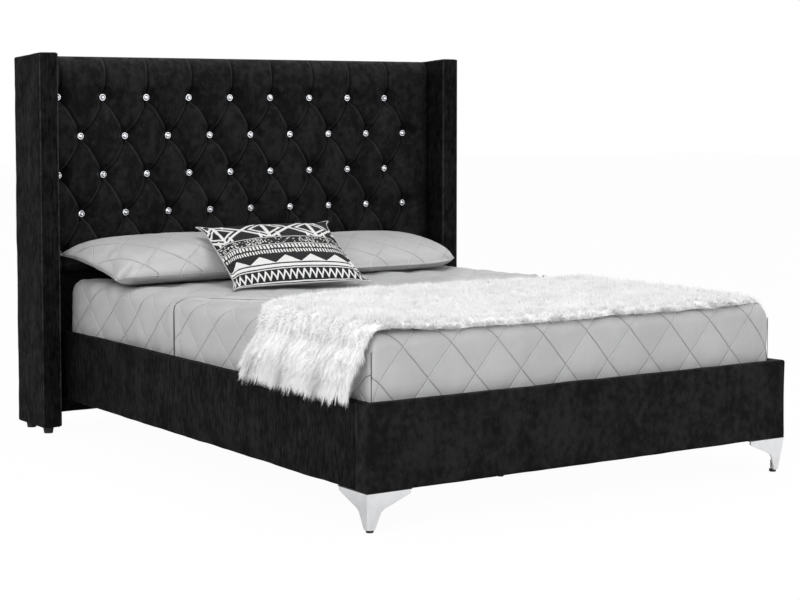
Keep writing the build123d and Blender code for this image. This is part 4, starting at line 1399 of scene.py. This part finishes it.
@dataclass
class BedForm:
    """The rounded block that the cloth lies over, with cloth coordinates unrolled from its top."""

    half: float
    foot: float
    head: float
    top: float
    bend: float
    corner: float

    def rolled(self, run: Array, limit: float) -> tuple[Array, Array, Array]:
        """Place across, drop and outward share of a cloth coordinate that passes a rounded edge.

        Args:
            run: the coordinate, from the middle.
            limit: where the block's side is.

        Returns:
            The place, the drop under the top, and the share.
        """
        flat = limit - self.bend
        angle = np.clip((run - flat) / self.bend, 0, math.pi / 2)
        hang = np.maximum(0, run - flat - self.bend * math.pi / 2)
        across = np.minimum(run, flat) + self.bend * np.sin(angle)
        return across, self.bend * (1 - np.cos(angle)) + hang, np.sin(angle)

    def place(self, s: Array, t: Array) -> tuple[Array, Array]:
        """Points and outward normals of cloth coordinates.

        Args:
            s: the distance across the bed from its middle line, along the cloth.
            t: the distance along the bed from its middle, along the cloth.

        Returns:
            Points and unit normals.
        """
        middle, reach = (self.foot + self.head) / 2, (self.head - self.foot) / 2
        x, drop_x, out_x = self.rolled(np.abs(s), self.half)
        y, drop_y, out_y = self.rolled(np.abs(t), reach)
        cx, cy = self.half - self.corner, reach - self.corner
        dx, dy = np.maximum(x - cx, 0), np.maximum(y - cy, 0)
        inside = (dx > 0) & (dy > 0)
        scale = np.where(inside, np.maximum(dx, dy) / np.maximum(np.hypot(dx, dy), 1e-9), 1.0)
        x = np.where(inside, cx + dx * scale, x)
        y = np.where(inside, cy + dy * scale, y)
        points = np.stack([np.sign(s) * x, middle + np.sign(t) * y, self.top - drop_x - drop_y], axis=-1)
        up = np.sqrt(clamp(1 - out_x**2)) * np.sqrt(clamp(1 - out_y**2))
        normals = np.stack([np.sign(s) * out_x, np.sign(t) * out_y, up], axis=-1)
        normals /= np.maximum(np.linalg.norm(normals, axis=-1, keepdims=True), 1e-6)
        return points, normals

    def hang(self, bottom: float) -> float:
        """How far the cloth reaches from the middle line when it hangs down to a level."""
        return self.half - self.bend + self.bend * math.pi / 2 + (self.top - self.bend - bottom)

    def grown(self, offset: float) -> "BedForm":
        """The same block let out by an offset.

        Args:
            offset: how far.

        Returns:
            The new block.
        """
        return BedForm(
            self.half + offset, self.foot - offset, self.head + offset, self.top + offset,
            self.bend + offset, self.corner + offset,
        )


def diamonds(s: Array, t: Array) -> Array:
    """The puff of a diamond quilt, 0 on its seams and 1 in its middles."""
    across, along = (s - QUILT_START) / DIAMOND[0], t / DIAMOND[1]
    return (np.abs(np.sin(math.pi * (across + along))) * np.abs(np.sin(math.pi * (across - along)))) ** 0.45


@dataclass
class Bedding:
    """The mattress, its quilted sheet and the coverlet."""

    dresser: Dresser
    step: float = 0.0085
    sweep: float = 0.279
    short: float = 0.02
    slant: float = 0.205
    tucked: float = 0.002
    puff: float = 0.0045
    rumples: float = 0.0045
    crinkles: float = 0.0016
    roll: float = 0.019
    furrows: float = 0.006
    coverlet_puff: float = 0.005
    coverlet_sink: float = 0.004
    coverlet_waves: float = 0.002
    hem: float = 0.0045
    groove: float = 0.003
    turned_in: float = 0.02

    def build(self) -> None:
        """Makes the mattress and its two covers."""
        low, high = corners("mattress")
        self.form = BedForm(high[0], low[1], high[1], high[2], EDGE_BEND, 0.006)
        self.mattress(low, high)
        self.sheet()
        self.coverlet()

    def mattress(self, low: Array, high: Array) -> None:
        """The mattress: a firm block with rounded edges.

        Args:
            low: its lowest corner.
            high: its highest corner.
        """
        piece = soft_block("mattress_core", low, high, 0.03, 0.03)
        rumple(piece, Ripple(0.3, 12), 0.0015)
        self.dresser.dress(piece, Body.MATTRESS, Slot.TICKING, "mattress")

    def sheet(self) -> None:
        """The fitted quilted sheet, rumpled above the coverlet, with a roll of cloth along its edge."""
        low, high = corners("quilted_sheet")
        form = self.form.grown(high[2] - self.form.top - 0.0005)
        s_end = form.hang(low[2])
        t_end = s_end - form.half + (form.head - form.foot) / 2
        s = np.linspace(-s_end, s_end, int(2 * s_end / self.step))
        t = np.linspace(-t_end, t_end, int(2 * t_end / (self.step * 1.5)))
        ss, tt = np.meshgrid(s, t)
        points, normals = form.place(ss, tt)
        edge = self.edge_t(form, ss)
        near = tt - edge
        raised = clamp((near + 0.05) / 0.12)
        bulge = diamonds(ss, tt) * self.puff - self.puff
        waves = Ripple(0.2, 14, stretch=(1.0, 0.5, 1.0))(points) * self.rumples
        waves += Ripple(0.075, 15, stretch=(0.4, 1.4, 1.0))(points) * self.crinkles
        roll = ridge(near, 0.034, 0.022) * self.roll * np.clip((form.half + 0.05 - np.abs(ss)) / 0.15, 0.25, 1)
        rows = ridge(near, 0.1, 0.016) + 0.7 * ridge(near, 0.16, 0.014)
        uneven = clamp(Ripple(0.4, 16)(points) + 0.6)
        roll += rows * self.furrows * uneven * clamp((form.half - np.abs(ss)) / 0.1)
        head = clamp((form.head - 0.02 - points[..., 1]) / -0.02)
        shift = (bulge + waves * raised + 0.004 * raised + roll) * (1 - head)
        self.cover("fitted_sheet", points + normals * shift[..., None], ss, tt, low[2], "quilted_sheet")

    def edge_t(self, form: BedForm, s: Array) -> Array:
        """How far up the bed the coverlet's edge lies, in cloth coordinates.

        Args:
            form: the block under the cloth.
            s: cloth coordinates across the bed.

        Returns:
            The edge's coordinate along the bed.
        """
        middle, (low, high) = (form.foot + form.head) / 2, corners("coverlet")
        share = clamp((np.abs(s) - (form.half - self.slant)) / self.slant)
        top_reach = high[1] - self.sweep - middle
        return top_reach + (self.sweep - self.short) * share**1.15

    def coverlet(self) -> None:
        """The quilted coverlet with its turned hem, a dark cord of painted shadow along its edge and dark seams at
        its foot corners.
        """
        low, high = corners("coverlet")
        form = self.form.grown(high[2] - self.form.top)
        s_end = form.hang(low[2])
        s = np.linspace(-s_end, s_end, int(2 * s_end / self.step))
        front = -(form.head - form.foot) / 2 - (s_end - form.half)
        share = np.linspace(0, 1, int(1.35 / self.step))
        ss = np.broadcast_to(s[None, :], (len(share), len(s)))
        edge = self.edge_t(form, ss) + Ripple(0.3, 18)(np.stack([ss, ss * 0, ss * 0], axis=-1)) * 0.006
        tt = front + (edge - front) * share[:, None]
        points, normals = form.place(ss, tt)
        near = edge - tt
        bulge = diamonds(ss, tt) * self.coverlet_puff - self.coverlet_sink
        hem = self.hem * ridge(near, 0.012, 0.011) - self.groove * ridge(near, 0.034, 0.006)
        waves = Ripple(0.26, 19)(points) * self.coverlet_waves
        shift = bulge * clamp(near / 0.04) + hem + waves
        points = points + normals * shift[..., None]
        rim, outward = form.place(ss[-1:], tt[-1:])
        under = rim - outward * 0.007
        inner = form.place(ss[-1:], tt[-1:] - self.turned_in)[0] - outward * 0.008
        points = np.concatenate([points, under, inner])
        ss = np.concatenate([ss, ss[-1:], ss[-1:]])
        tt = np.concatenate([tt, tt[-1:], tt[-1:] - self.turned_in])
        self.cover("quilted_coverlet", points, ss, tt, low[2], "coverlet")
        # a dark cord along the coverlet's edge: painted shadow under the sheet's roll
        path = self.seam_path(form, ss[0], edge[0] - 0.001, 0.0014, low[2])
        self.seam("coverlet_edge_shadow_cord", path, 0.0026)
        levels = np.linspace(low[2] + self.tucked, form.top - form.bend - 0.006, 24)
        inset = form.corner * (1 - math.sqrt(0.5)) - 0.0006
        for side, x in (("left", -form.half), ("right", form.half)):
            path = upright(x - math.copysign(inset, x), form.foot + inset, levels)
            self.seam(f"corner_seam_{side}", path, 0.0012)

    def seam(self, name: str, path: Array, radius: float) -> None:
        """A dark cord on the coverlet, a seam at its corners and painted shadow along its edge: its name, path and
        half its thickness.
        """
        cord = tube(name, path, radius, 6)
        self.dresser.dress(cord, Body.MATTRESS, Slot.SATIN_GREY, finish=self.dresser.dark_seam_and_shadow_cord)

    def seam_path(self, form: BedForm, s: Array, t: Array, lift: float, bottom: float) -> Array:
        """Points along a line on the cloth, a little above it, without those under its tucked edge.

        Args:
            form: the block under the cloth.
            s: cloth coordinates across the bed.
            t: cloth coordinates along it.
            lift: how far above the cloth.
            bottom: the level of the tucked edge.

        Returns:
            The points.
        """
        points, normals = form.place(s, t)
        path = points + normals * lift
        return path[path[:, 2] > bottom + self.tucked]

    def cover(self, name: str, points: Array, s: Array, t: Array, bottom: float, node: str) -> None:
        """Makes one cover from its points, cut off level at its tucked lower edge.

        Args:
            name: the piece's name.
            points: a grid of points.
            s: their cloth coordinates across the bed.
            t: their cloth coordinates along it.
            bottom: the level of the tucked edge.
            node: the CAD cover.
        """
        points[..., 2] = np.maximum(points[..., 2], bottom)
        piece = make_object(name, points, grid_faces(*s.shape))
        set_attribute(piece, CLOTH, np.stack([s, t, s * 0], axis=-1).reshape(-1, 3))
        work = bmesh.new()
        work.from_mesh(piece.data)
        lost = [
            face for face in work.faces
            if face.calc_area() < 1e-6 or max(point.co.z for point in face.verts) <= bottom + 1e-5
        ]
        bmesh.ops.delete(work, geom=lost, context="FACES")
        work.to_mesh(piece.data)
        work.free()
        piece.data.shade_smooth()
        self.dresser.dress(piece, Body.MATTRESS, Slot.SATIN_GREY, node)
        width, length = float(s.max() - s.min()), float(t.max() - t.min())


# Pillows and cushion


@dataclass
class Filled:
    """A filled cushion: cut flat, blown up as cloth, and laid in its CAD piece's place."""

    dresser: Dresser
    name: str
    node: str
    body: Body
    slot: Slot
    size: tuple[float, float, float]
    angles: tuple[float, float, float]
    centre: tuple[float, float, float] | None = None
    sink: float = 0.0
    droop: float = 0.0
    slump: float = 0.6
    limit: float = 0.03
    fill: float = 0.7
    columns: int = 96
    rows: int = 66
    cord: float = 0.0018
    pull: float = 0.028
    tuck: tuple[float, float] = (0.0, 0.0)
    frames: int = 20
    pressed: float = 0.012
    gap: float = 0.002
    seed: int = 1

    def build(self) -> None:
        """Makes the piece and the cord in its seam."""
        piece = self.cut()
        flat = self.flat_places(piece)
        start = self.form(flat, 0.42, 1.0)
        self.inflate(piece)
        settled = self.fitted(points_of(piece))
        shaped = self.fitted(start)
        set_points(piece, shaped + np.clip(settled - shaped, -self.limit, self.limit) * self.slump)
        rim = np.flatnonzero(np.maximum(np.abs(flat[:, 0]), np.abs(flat[:, 1])) > 0.9999)
        rim = rim[np.argsort(np.arctan2(flat[rim, 1], flat[rim, 0]))]
        self.lay(piece)
        self.dresser.dress(piece, self.body, self.slot, self.node)
        cord = tube(f"{self.name}_cord", points_of(piece)[rim], self.cord, 6, True)
        cord.matrix_world = piece.matrix_world
        self.dresser.dress(cord, self.body, Slot.SATIN_GREY)

    def cut(self) -> bpy.types.Object:
        """The two flat panels, sewn at the rim and already slightly domed.

        Returns:
            The welded piece.
        """
        edge = math.pi / 2 * 0.92
        u = np.sin(np.linspace(-edge, edge, self.columns)) / math.sin(edge)
        v = np.sin(np.linspace(-edge, edge, self.rows)) / math.sin(edge)
        uu, vv = np.meshgrid(u, v)
        panels = [np.stack([uu, vv, np.full(uu.shape, side)], axis=-1).reshape(-1, 3) for side in (1.0, -1.0)]
        flat = np.concatenate(panels)
        back = grid_faces(self.rows, self.columns, self.rows * self.columns)
        faces = grid_faces(self.rows, self.columns) + [face[::-1] for face in back]
        points = self.form(flat, 0.5, 0.55)
        noise = np.random.default_rng(self.seed).normal(scale=2e-4, size=points.shape)
        piece = make_object(self.name, points + noise * (np.abs(points[:, 2:]) > 1e-6), faces)
        set_attribute(piece, CLOTH, flat * [self.size[0] / 2, self.size[1] / 2, 1.0])
        return weld(piece, FINE_WELD)

    def flat_places(self, piece: bpy.types.Object) -> Array:
        """Each point's place on its panel, from -1 to 1, and its side."""
        cloth = vectors_of(piece.data.attributes[CLOTH].data, "vector")
        return cloth / [self.size[0] / 2, self.size[1] / 2, 1.0]

    def form(self, flat: Array, power: float, share: float) -> Array:
        """The domed form with its sides drawn in between the corners.

        Args:
            flat: each point's place on its panel, from -1 to 1, and its side.
            power: how steeply the rim rises.
            share: the share of the full thickness.

        Returns:
            The points.
        """
        u, v, side = flat.T
        width, depth, thick = self.size
        x = u * (width / 2 - self.pull * (1 - v**2) * np.abs(u) ** 3 * 0.4)
        y = v * (depth / 2 - self.pull * (1 - u**2) * np.abs(v) ** 3 * 0.4)
        dome = clamp((1 - u**2) * (1 - v**2)) ** power
        return np.stack([x, y, side * dome * thick / 2 * share], axis=-1)

    def inflate(self, piece: bpy.types.Object) -> None:
        """Blows the cloth up with Blender's cloth solver and keeps the result.

        Args:
            piece: the sewn panels.
        """
        scene = bpy.context.scene
        cloth = piece.modifiers.new("cloth", "CLOTH")
        settings = cloth.settings
        settings.quality = 6
        settings.mass = 0.25
        settings.tension_stiffness = settings.compression_stiffness = 14
        settings.shear_stiffness = 6
        settings.bending_stiffness = 0.25
        settings.use_pressure = True
        settings.uniform_pressure_force = 3.4
        settings.effector_weights.gravity = 0
        cloth.collision_settings.use_collision = False
        cloth.point_cache.frame_start, cloth.point_cache.frame_end = 1, self.frames + 6
        for step in range(1, self.frames + 1):
            scene.frame_set(step)
        graph = bpy.context.evaluated_depsgraph_get()
        settled = piece.evaluated_get(graph).to_mesh()
        points = vectors_of(settled.vertices, "co")
        piece.evaluated_get(graph).to_mesh_clear()
        piece.modifiers.remove(cloth)
        set_points(piece, points)
        scene.frame_set(1)

    def fitted(self, points: Array) -> Array:
        """The form brought to its real size."""
        low, high = np.percentile(points, 0.3, axis=0), np.percentile(points, 99.7, axis=0)
        return (points - (low + high) / 2) / (high - low) * np.array(self.size)

    def lay(self, piece: bpy.types.Object) -> None:
        """Turns, tilts and sets the piece down, flattened where it meets the bed.

        Args:
            piece: the filled piece.
        """
        turned = Matrix.Identity(3)
        for angle, axis in zip(self.angles, "XYZ"):
            turned = turned @ Matrix.Rotation(math.radians(angle), 3, axis)
        spin = np.array(turned)
        local = points_of(piece)
        u, v = np.abs(local[:, 0]) / self.size[0] * 2, local[:, 1] / self.size[1] * 2
        local[:, 2] -= self.droop * clamp(u) ** 6 * clamp(v * 0.5 + 0.5) ** 2
        near = clamp(local[:, 0] / self.size[0] * 2) ** 3 * clamp(-v) ** 1.5
        local[:, :2] += near[:, None] * np.array(self.tuck)
        points = local @ spin.T
        low, high = corners(self.node)
        move = np.array(self.centre or (0.0, 0.0, 0.0))
        if self.centre is None:
            move[0] = (low[0] + high[0] - points[:, 0].min() - points[:, 0].max()) / 2
            move[1] = high[1] - points[:, 1].max()
            move[2] = low[2] - points[:, 2].min() - self.sink
        world = points + move
        lift = world[:, 2] - low[2] - self.gap
        soft = low[2] + self.gap + self.pressed * np.exp((lift - self.pressed) / self.pressed)
        world[:, 2] = np.where(lift < self.pressed, soft, world[:, 2])
        set_points(piece, (world - move) @ spin)
        piece.matrix_world = Matrix.Translation(Vector(move)) @ turned.to_4x4()


# The throw


@dataclass
class Throw:
    """A long pile throw: a backing sheet with its folds, and locks of pile all over it."""

    dresser: Dresser
    strands: int = 150000
    length: float = 0.023
    width: float = 0.00085
    folds: int = 3
    fold: float = 0.028
    depth: float = 0.93
    short_left: float = 0.06
    drop_right: float = 0.11
    clear: float = 0.016
    loft: float = 0.005
    shoulder: float = 0.014
    unevenness: float = 0.004
    spread: tuple[float, float] = (0.0035, 0.006)
    scatter: float = 0.0045
    rows: int = 150
    columns: int = 300
    per_lock: int = 9
    seed: int = 5

    def build(self) -> None:
        """Makes the backing and its pile."""
        low, high = corners("throw_blanket")
        self.low, self.high = low, high
        mattress_high = corners("mattress")[1]
        self.under = corners("coverlet")[1][2]
        self.side = corners("coverlet")[1][0] + 0.002
        self.rail = -corners("left_rail_cover")[0][0]
        self.bend = self.under - mattress_high[2] + EDGE_BEND
        self.flat = self.side - self.bend
        self.drop_left = high[2] - low[2]
        uu, vv = np.meshgrid(np.linspace(0, 1, self.columns), np.linspace(0, 1, self.rows))
        points = self.surface(uu, vv)[0]
        backing = make_object("throw_backing", points, grid_faces(self.rows, self.columns))
        self.dresser.dress(backing, Body.THROW, Slot.WHITE_FUR, "throw_blanket")
        set_attribute(backing, ALONG, np.full(self.rows * self.columns, 0.5))
        area = sum(face.area for face in backing.data.polygons)
        left, right = self.span()
        right - left
        min(area, (right - left) * self.depth)
        self.pile()

    def span(self) -> tuple[float, float]:
        """The cloth's ends across the bed, from the middle line, along the cloth.

        Returns:
            The left end and the right end.
        """
        bent = self.flat + self.bend * math.pi / 2
        left = -(bent + self.drop_left - self.bend - self.short_left)
        right = bent + self.drop_right - self.bend
        return left, right

    def rear(self, s: Array) -> Array:
        """How far the cloth reaches towards the head.

        Args:
            s: cloth coordinates across the bed.

        Returns:
            The places along the bed.
        """
        width = self.side
        known_s = np.array([-2.0, -width, -0.59 * width, -0.32 * width, 0.3 * width, width, 2.0])
        known_y = np.array([0.57, 0.565, 0.83, 0.91, 0.895, 0.885, 0.87])
        return np.interp(s, known_s, known_y)

    def surface(self, u: Array, v: Array) -> tuple[Array, Array]:
        """The backing as it lies.

        Args:
            u: shares of the way across, from the left end.
            v: shares of the way from the foot to the head.

        Returns:
            Points and outward normals.
        """
        left, right = self.span()
        s = left + (right - left) * u
        reach = self.rear(s)
        start = self.low[1] + 0.004 + 0.04 * clamp((s - 0.5) / 0.35) ** 2
        y = start + (reach - start + self.low[1] + 0.004) * v
        a = np.abs(s)
        angle = np.clip((a - self.flat) / self.bend, 0, math.pi / 2)
        hang = np.maximum(0, a - self.flat - self.bend * math.pi / 2)
        x = np.sign(s) * (np.minimum(a, self.flat) + self.bend * np.sin(angle))
        z = self.under + 0.007 - self.bend * (1 - np.cos(angle)) - hang
        on_left = s < 0
        full = self.drop_left - self.bend
        share = clamp(hang / full)
        lean = np.sin(np.minimum(share * 1.6, 1) * math.pi / 2)
        out = np.where(on_left, (self.rail + self.clear - self.side) * lean, 0)
        turns = 2 * math.pi * self.folds * (v + 0.02 * np.sin(9 * v))
        wave = 0.5 - 0.5 * np.cos(turns)
        out = out + np.where(on_left, self.fold * wave * share**0.8, 0)
        x = x - out
        y = y + np.where(on_left, share * (0.02 + 0.025 * v), 0)
        ripple = Ripple(0.16, 41, stretch=(0.6, 1.3, 1.0))(np.stack([x, y, z], axis=-1)) * self.unevenness
        front = clamp((start + 0.05 - y) / 0.05)
        z = z - np.where(hang > 0, 0, 0.02 * front**2) + np.where(hang > 0, 0, np.abs(ripple))
        puff = self.loft + np.where(on_left, ridge(a, self.flat, 0.2), 0) * self.shoulder
        x, z = x + np.sign(s) * np.sin(angle) * puff, z + np.cos(angle) * puff
        points = np.stack([x, y, z], axis=-1)
        normals = np.stack([np.sign(s) * np.sin(angle), -0.5 * front, np.cos(angle)], axis=-1)
        slope = np.where(on_left, share, 0)
        bulge = np.sin(turns) * slope
        normals[..., 1] -= bulge * 0.8
        normals /= np.linalg.norm(normals, axis=-1, keepdims=True)
        return points, normals

    def pile(self) -> bpy.types.Object:
        """The pile: fine blades in small locks that lean together.

        Returns:
            The piece.
        """
        rng = np.random.default_rng(self.seed)
        each = self.per_lock
        locks = self.strands // each
        u, v = rng.uniform(size=locks), rng.uniform(size=locks)
        rim = rng.uniform(size=locks) < 0.1
        which = rng.integers(0, 4, locks)
        u = np.where(rim & (which == 0), rng.uniform(0, 0.008, locks), u)
        v = np.where(rim & (which == 1), rng.uniform(0, 0.012, locks), v)
        v = np.where(rim & (which >= 2), rng.uniform(0.985, 1, locks), v)
        us = clamp(np.repeat(u, each) + rng.normal(scale=self.spread[0], size=locks * each))
        vs = clamp(np.repeat(v, each) + rng.normal(scale=self.spread[1], size=locks * each))
        centre, lock_normal = self.surface(u, v)
        root, normal = self.surface(us, vs)
        sway = np.stack([Ripple(0.11, seed)(centre) for seed in (51, 52, 53)], axis=-1)
        comb = sway * 0.3 + rng.normal(scale=0.3, size=(locks, 3))
        comb[:, 2] -= clamp(1 - lock_normal[:, 2]) * 1.5
        comb[:, 1] += np.where(v > 0.984, 0.7, 0) - np.where(v < 0.013, 0.8, 0)
        comb[:, 2] -= np.where((v < 0.013) | (u < 0.009), 1.0, 0)
        comb -= lock_normal * (comb * lock_normal).sum(axis=1, keepdims=True) * 0.9
        size = self.length * rng.uniform(0.6, 1.15, locks) * np.where(u < 0.02, 1.25, 1.0)
        lean = lock_normal * 0.55 + comb * 0.6
        tip = root + np.repeat(lean * size[:, None], each, axis=0)
        tip += rng.normal(scale=self.scatter, size=tip.shape)
        close = np.repeat(np.where(u < 0.012, 0.6, 0.06), each)[:, None]
        tip = tip * (1 - close) + np.repeat(centre + lean * size[:, None], each, axis=0) * close
        return self.blades(root, tip, normal)

    def blades(self, root: Array, tip: Array, normal: Array) -> bpy.types.Object:
        """One slim blade from each root to its tip.

        Args:
            root: the blades' feet.
            tip: their tips.
            normal: the backing's normals there.

        Returns:
            The piece.
        """
        side = np.cross(tip - root, normal)
        side /= np.maximum(np.linalg.norm(side, axis=1, keepdims=True), 1e-6)
        points = np.stack([root - side * self.width, root + side * self.width, tip], axis=1)
        faces = (np.arange(len(root))[:, None] * 3 + [0, 1, 2]).tolist()
        piece = make_object("throw_pile", points, faces)
        self.dresser.dress(piece, Body.THROW, Slot.WHITE_FUR)
        set_attribute(piece, ALONG, np.tile([0.0, 0.0, 1.0], len(root)))
        return piece


# The studio

WHITE = (1.0, 1.0, 1.0, 1.0)


@dataclass
class Studio:
    """A pale floor, soft lamps and the photograph's camera."""

    lens: float = 83.874
    place: tuple[float, float, float] = (-3.5932, -5.39409, 1.18977)
    yaw: float = 0.59363
    pitch: float = 0.06526
    shift: float = -0.09
    half_floor: float = 30.0

    def build(self) -> None:
        """Sets the stage."""
        self.floor()
        self.world()
        self.lamps()
        self.camera()
        bpy.context.scene.view_settings.view_transform = "Standard"

    def floor(self) -> None:
        """A wide pale floor."""
        size = self.half_floor
        points = np.array([[-size, -size, 0], [size, -size, 0], [size, size, 0], [-size, size, 0]])
        plane = make_object("studio_floor", points, [(0, 1, 2, 3)])
        graph = Graph(bpy.data.materials.new("studio_paper"))
        ray = graph.node("LightPath")["Is Camera Ray"]
        grain = graph.noise(graph.place(), 3.0, 2.0)
        paper = graph.node("BsdfDiffuse", {}, {"Color": graph.mix(grain * 0.3, (0.9, 0.9, 0.9), (0.94, 0.94, 0.94))})
        glow = graph.node("Emission", {}, {"Color": WHITE, "Strength": 1.0})
        both = graph.node("MixShader", {}, {0: ray * 0.97, 1: paper, 2: glow})
        graph.node("OutputMaterial", {}, {"Surface": both})
        plane.data.materials.append(graph.holder)

    def world(self) -> None:
        """White to the camera and to gloss, softer as light."""
        graph = Graph(bpy.data.worlds.new("studio_world"))
        bpy.context.scene.world = graph.holder
        path = graph.node("LightPath")
        seen = path["Is Camera Ray"].at_least(path["Is Glossy Ray"]).at_least(path["Is Transmission Ray"])
        sky = graph.node("Background", {}, {"Color": WHITE, "Strength": seen * 0.48 + 0.52})
        graph.node("OutputWorld", {}, {"Surface": sky})

    def lamps(self) -> None:
        """A large key from the left, a front fill and a soft top."""
        self.lamp("key", (-5.6, -4.3, 4.0), (0.0, 0.0, 0.5), 3.0, 270.0)
        self.lamp("fill", (2.6, -4.8, 2.4), (0.0, 0.0, 0.5), 3.2, 42.0)
        self.lamp("top", (0.4, 0.2, 4.4), (0.0, 0.0, 0.0), 3.4, 80.0)

    def lamp(self, name: str, place: Sequence[float], aim: Sequence[float], size: float, power: float) -> None:
        """One square area lamp.

        Args:
            name: its name.
            place: where it stands.
            aim: the point that it faces.
            size: its side, in metres.
            power: its power, in watts.
        """
        data = bpy.data.lights.new(name, "AREA")
        data.shape, data.size, data.energy = "SQUARE", size, power
        made = bpy.data.objects.new(name, data)
        made.location = place
        made.rotation_euler = (Vector(aim) - Vector(place)).to_track_quat("-Z", "Y").to_euler()
        bpy.context.scene.collection.objects.link(made)

    def camera(self) -> None:
        """The camera at the photograph's place."""
        data = bpy.data.cameras.new("camera")
        data.lens, data.sensor_width, data.shift_y = self.lens, 36.0, self.shift
        made = bpy.data.objects.new("camera", data)
        made.location = self.place
        made.rotation_euler = (math.pi / 2 - self.pitch, 0.0, -self.yaw)
        bpy.context.scene.collection.objects.link(made)
        bpy.context.scene.camera = made


@dataclass
class DressedBed:
    """The whole bed."""

    dresser: Dresser

    def build(self) -> None:
        """Makes every piece."""
        self.dresser.dress_frame()
        TuftedPad(self.dresser).build()
        SoftPanels(self.dresser).build()
        Bedding(self.dresser).build()
        folded = {"left": (0.0, 0.0), "right": (-0.075, 0.085)}
        for side, body in (("left", Body.LEFT_PILLOW), ("right", Body.RIGHT_PILLOW)):
            Filled(
                self.dresser, f"{side}_pillow_satin", f"{side}_pillow", body, Slot.SATIN_GREY,
                (0.768, 0.47, 0.158), (11.0, 0.0, 0.0), sink=0.006, droop=0.035,
                tuck=folded[side], seed=len(side),
            ).build()
        Filled(
            self.dresser, "accent_cushion_cover", "accent_cushion", Body.CUSHION, Slot.CUSHION_PRINT,
            (0.503, 0.503, 0.128), (21.0, -6.0, -11.7), centre=(-0.195, 0.401, 0.657), slump=0.5,
            columns=72, rows=72, cord=0.0026, pull=0.02, seed=3,
        ).build()
        Throw(self.dresser).build()


def main() -> None:
    """Builds the scene."""
    logging.basicConfig(level=logging.INFO)
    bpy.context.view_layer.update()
    Studio().build()
    DressedBed(Dresser()).build()


if __name__ == "__main__":
    main()
